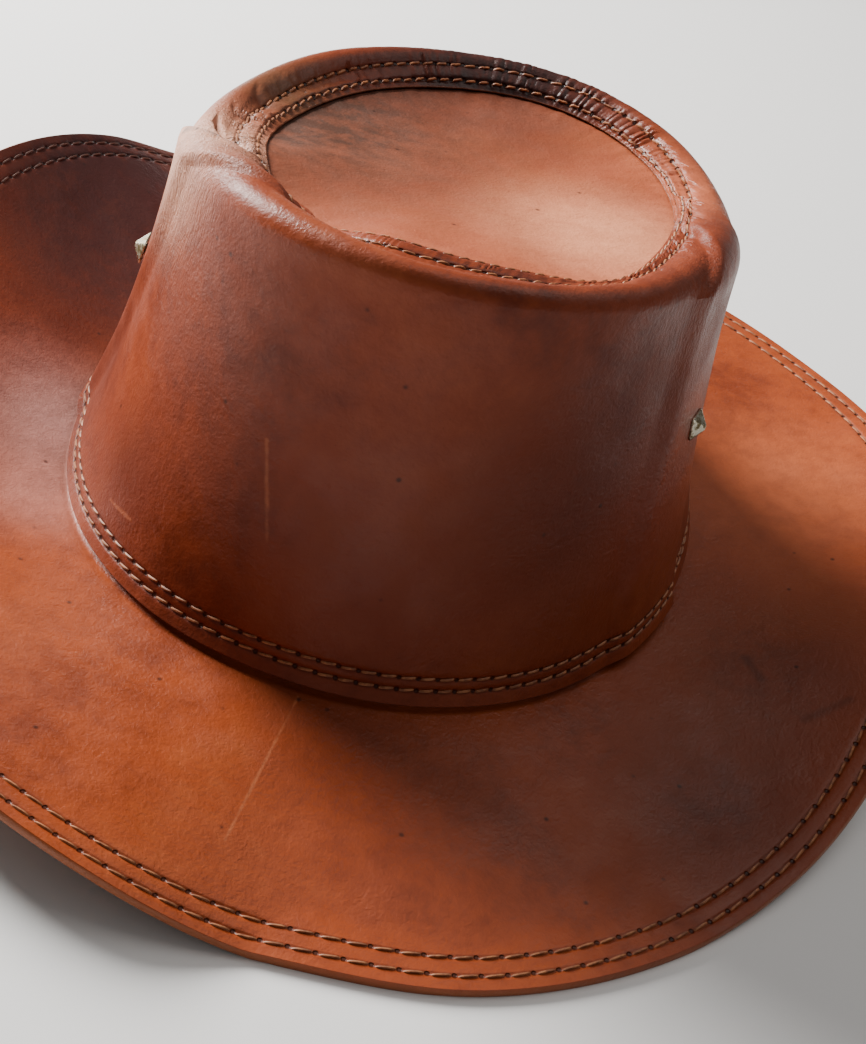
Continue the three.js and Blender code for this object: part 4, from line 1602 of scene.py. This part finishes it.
@dataclass
class Stud:
    """A square pyramid stud with a low rim, rounded edges and a post through the leather."""

    form: HatForm
    azimuth: float
    side: float = 6.8
    height: float = 3.2
    rim: float = 0.7
    tip: float = 1.2
    post: float = 1.1
    length: float = 6.0
    share: float = 0.56
    share_step: float = 0.05
    corner: float = 14.0
    round: float = 2.0
    rounded: float = 4.0
    sides: int = 64
    bevel: float = 0.15
    inset: float = 0.2
    foot_inset: float = 0.25
    chamfer: float = 0.3
    post_tip: float = 0.6
    post_flare: float = 1.2
    tip_drop: float = 0.1
    tip_inner: tuple[float, float] = (0.6, 0.2)
    slope_shares: tuple[float, ...] = (0.25, 0.5, 0.75, 1.0)
    crease: float = 20.0

    def _place(self) -> tuple[Array, Array, Array, Array]:
        """Middle of the stud's base and its right, up and out directions."""
        at = np.array([self.azimuth])
        wall = self.form.wall
        up = unit(wall(at, self.share + self.share_step) - wall(at, self.share - self.share_step))[0]
        along = unit(wall(at + 1, self.share) - wall(at - 1, self.share))[0]
        out = unit(np.cross(along, up))
        base = wall(at, self.share)[0] + out * (self.form.crown_leather + 2 * self.form.gap)
        return base, np.cross(up, out), up, out

    def _rings(self) -> list[tuple[float, float, float]]:
        """Height, half width and the outline's power of each ring, from the post's end to the tip."""
        half, tip, corner, bevel = self.side / 2, self.tip / 2, self.corner, self.bevel
        shoulder, top = self.rim + bevel, self.height + bevel
        rings = [
            (-self.length, self.post * self.post_tip, self.round),
            (-self.length + self.chamfer, self.post, self.round),
            (0.0, self.post, self.round),
            (bevel, self.post * self.post_flare, self.rounded),
            (bevel, half - self.foot_inset, corner),
            (2 * bevel, half, corner),
            (self.rim, half, corner),
            (shoulder, half - self.inset, corner),
        ]
        rise, narrower = top - self.tip_drop - shoulder, tip - half + self.inset
        rings += [(shoulder + rise * t, half - self.inset + narrower * t, corner) for t in self.slope_shares]
        return rings + [(top, tip * share, corner) for share in self.tip_inner]

    def data(self) -> MeshData:
        """Rings up the stud: a post, the base, a low rim and the pyramid.

        A ring's outline is |x|^n + |y|^n = r^n, round on the post (n = 2) and square above.
        """
        angle = np.linspace(0, 2 * math.pi, self.sides, endpoint=False)
        base, right, up, out = self._place()
        rings = self._rings()
        lines = []
        for z, radius, power in rings:
            scale = radius / (np.abs(np.cos(angle)) ** power + np.abs(np.sin(angle)) ** power) ** (1 / power)
            flat = right * (scale * np.cos(angle))[:, None] + up * (scale * np.sin(angle))[:, None]
            lines.append(base + flat + out * z)
        faces = tube(len(rings), self.sides).tolist()
        faces.append(list(range(self.sides))[::-1])
        faces.append([(len(rings) - 1) * self.sides + s for s in range(self.sides)])
        return MeshData(np.concatenate(lines), faces)

    def build(self, name: str, node: str, material: bpy.types.Material) -> None:
        """Makes the stud."""
        dress(self.data().make(name, self.crease), material, node)


# ---------------------------------------------------------------- studio


@dataclass(frozen=True)
class Lamp:
    """A soft area light that looks at the hat."""

    name: str
    x: float
    y: float
    z: float
    size: float
    power: float
    colour: Colour = (1.0, 1.0, 1.0)

    def make(self, aim: Vector) -> None:
        """Puts the light in the scene."""
        data = bpy.data.lights.new(self.name, "AREA")
        data.shape = "DISK"
        data.size = self.size
        data.energy = self.power
        data.color = self.colour
        lamp = bpy.data.objects.new(self.name, data)
        lamp.location = (self.x, self.y, self.z)
        lamp.rotation_euler = (aim - lamp.location).to_track_quat("-Z", "Y").to_euler()
        bpy.context.scene.collection.objects.link(lamp)


@dataclass(frozen=True)
class Studio:
    """Pale floor, soft lights and the camera."""

    floor_size: float = 12.0
    sky: float = 0.17
    sky_colour: Colour = (1.0, 0.97, 0.94)
    aim_height: float = 0.06
    lamps: tuple[Lamp, ...] = (
        Lamp("window_light", -1.02, 0.34, 0.60, 0.6, 52.0, (1.0, 0.97, 0.93)),
        Lamp("room_light", 0.35, 0.55, 1.25, 1.2, 5.0, (1.0, 0.96, 0.92)),
    )
    camera_place: tuple[float, float, float] = (96.95, -424.08, 326.35)
    camera_azimuth: float = 11.035
    camera_elevation: float = 37.577
    camera_roll: float = 17.28
    lens: float = 76.36
    sensor: float = 36.0
    clip: tuple[float, float] = (0.01, 50.0)

    def floor(self) -> None:
        """The floor, just under the brim."""
        half = self.floor_size / 2
        corners = [(-half, -half, 0), (half, -half, 0), (half, half, 0), (-half, half, 0)]
        mesh = bpy.data.meshes.new("floor")
        mesh.from_pydata(corners, [], [(0, 1, 2, 3)])
        mesh.materials.append(BackdropFinish().material())
        floor = bpy.data.objects.new("floor", mesh)
        bpy.context.scene.collection.objects.link(floor)

    def light(self) -> None:
        """The lamps and the even light of the room."""
        aim = Vector((0, 0, self.aim_height))
        for lamp in self.lamps:
            lamp.make(aim)
        world = bpy.data.worlds.new("room")
        world.use_nodes = True
        sky = world.node_tree.nodes["Background"]
        sky.inputs["Color"].default_value = (*self.sky_colour, 1.0)
        sky.inputs["Strength"].default_value = self.sky
        bpy.context.scene.world = world

    def camera(self) -> None:
        """The camera: behind the aim by azimuth and elevation, then rolled about its own axis."""
        a, e, r = (math.radians(v) for v in (self.camera_azimuth, self.camera_elevation, self.camera_roll))
        back = Vector((math.sin(a) * math.cos(e), -math.cos(a) * math.cos(e), math.sin(e)))
        right = Vector((math.cos(a), math.sin(a), 0))
        up = back.cross(right)
        rolled_right = math.cos(r) * right + math.sin(r) * up
        rolled_up = -math.sin(r) * right + math.cos(r) * up
        turn = Matrix((rolled_right, rolled_up, back)).transposed()
        data = bpy.data.cameras.new("camera")
        data.lens, data.sensor_width, data.sensor_fit = self.lens, self.sensor, "HORIZONTAL"
        data.clip_start, data.clip_end = self.clip
        camera = bpy.data.objects.new("camera", data)
        camera.matrix_world = Matrix.Translation(Vector(self.camera_place) * MM) @ turn.to_4x4()
        bpy.context.scene.collection.objects.link(camera)
        bpy.context.scene.camera = camera


def main() -> None:
    """Builds the hat in order, then the studio."""
    logging.basicConfig(level=logging.INFO)
    form = HatForm()
    crown, top, brim = Crown(form), Top(form), Brim(form)
    thread_material = ThreadFinish().material()
    crown_leather = LeatherFinish(
        "crown_leather",
        deep=linear(98, 37, 18),
        middle=linear(132, 57, 30),
        pale=linear(156, 77, 44),
        cut=linear(112, 62, 38),
        stains_and_painted_light=CROWN_STAINS_AND_PAINTED_LIGHT,
        scratches_and_painted_shadows=CROWN_SCRATCHES_AND_PAINTED_SHADOWS,
        wrinkles=CROWN_WRINKLES,
        sewings=(
            Holes("hem_sewing", crown.hem_rows, crown.hem_pitch),
            Holes("rim_sewing", crown.rim_rows, crown.rim_pitch),
        ),
    )
    top_leather = LeatherFinish(
        "top_leather",
        deep=linear(164, 80, 50),
        middle=linear(180, 94, 60),
        pale=linear(194, 108, 72),
        stains_and_painted_light=TOP_PAINTED_LIGHT,
        roughness=0.46,
    )
    brim_leather = LeatherFinish(
        "brim_leather",
        deep=linear(118, 50, 25),
        middle=linear(152, 68, 32),
        pale=linear(174, 88, 46),
        stains_and_painted_light=BRIM_STAINS_AND_PAINTED_LIGHT,
        scratches_and_painted_shadows=BRIM_SCRATCHES,
        sewings=(Holes("edge_sewing", brim.rows, brim.pitch),),
    )
    crown.build(crown_leather, Thread(), thread_material)
    top.build(top_leather)
    brim.build(brim_leather, Thread(), thread_material)
    metal = MetalFinish().material()
    Stud(form, 197.0).build("left_stud", "stud_left", metal)
    Stud(form, -5.5).build("right_stud", "stud_right", metal)
    studio = Studio()
    studio.floor()
    studio.light()
    studio.camera()


if __name__ == "__main__":
    main()
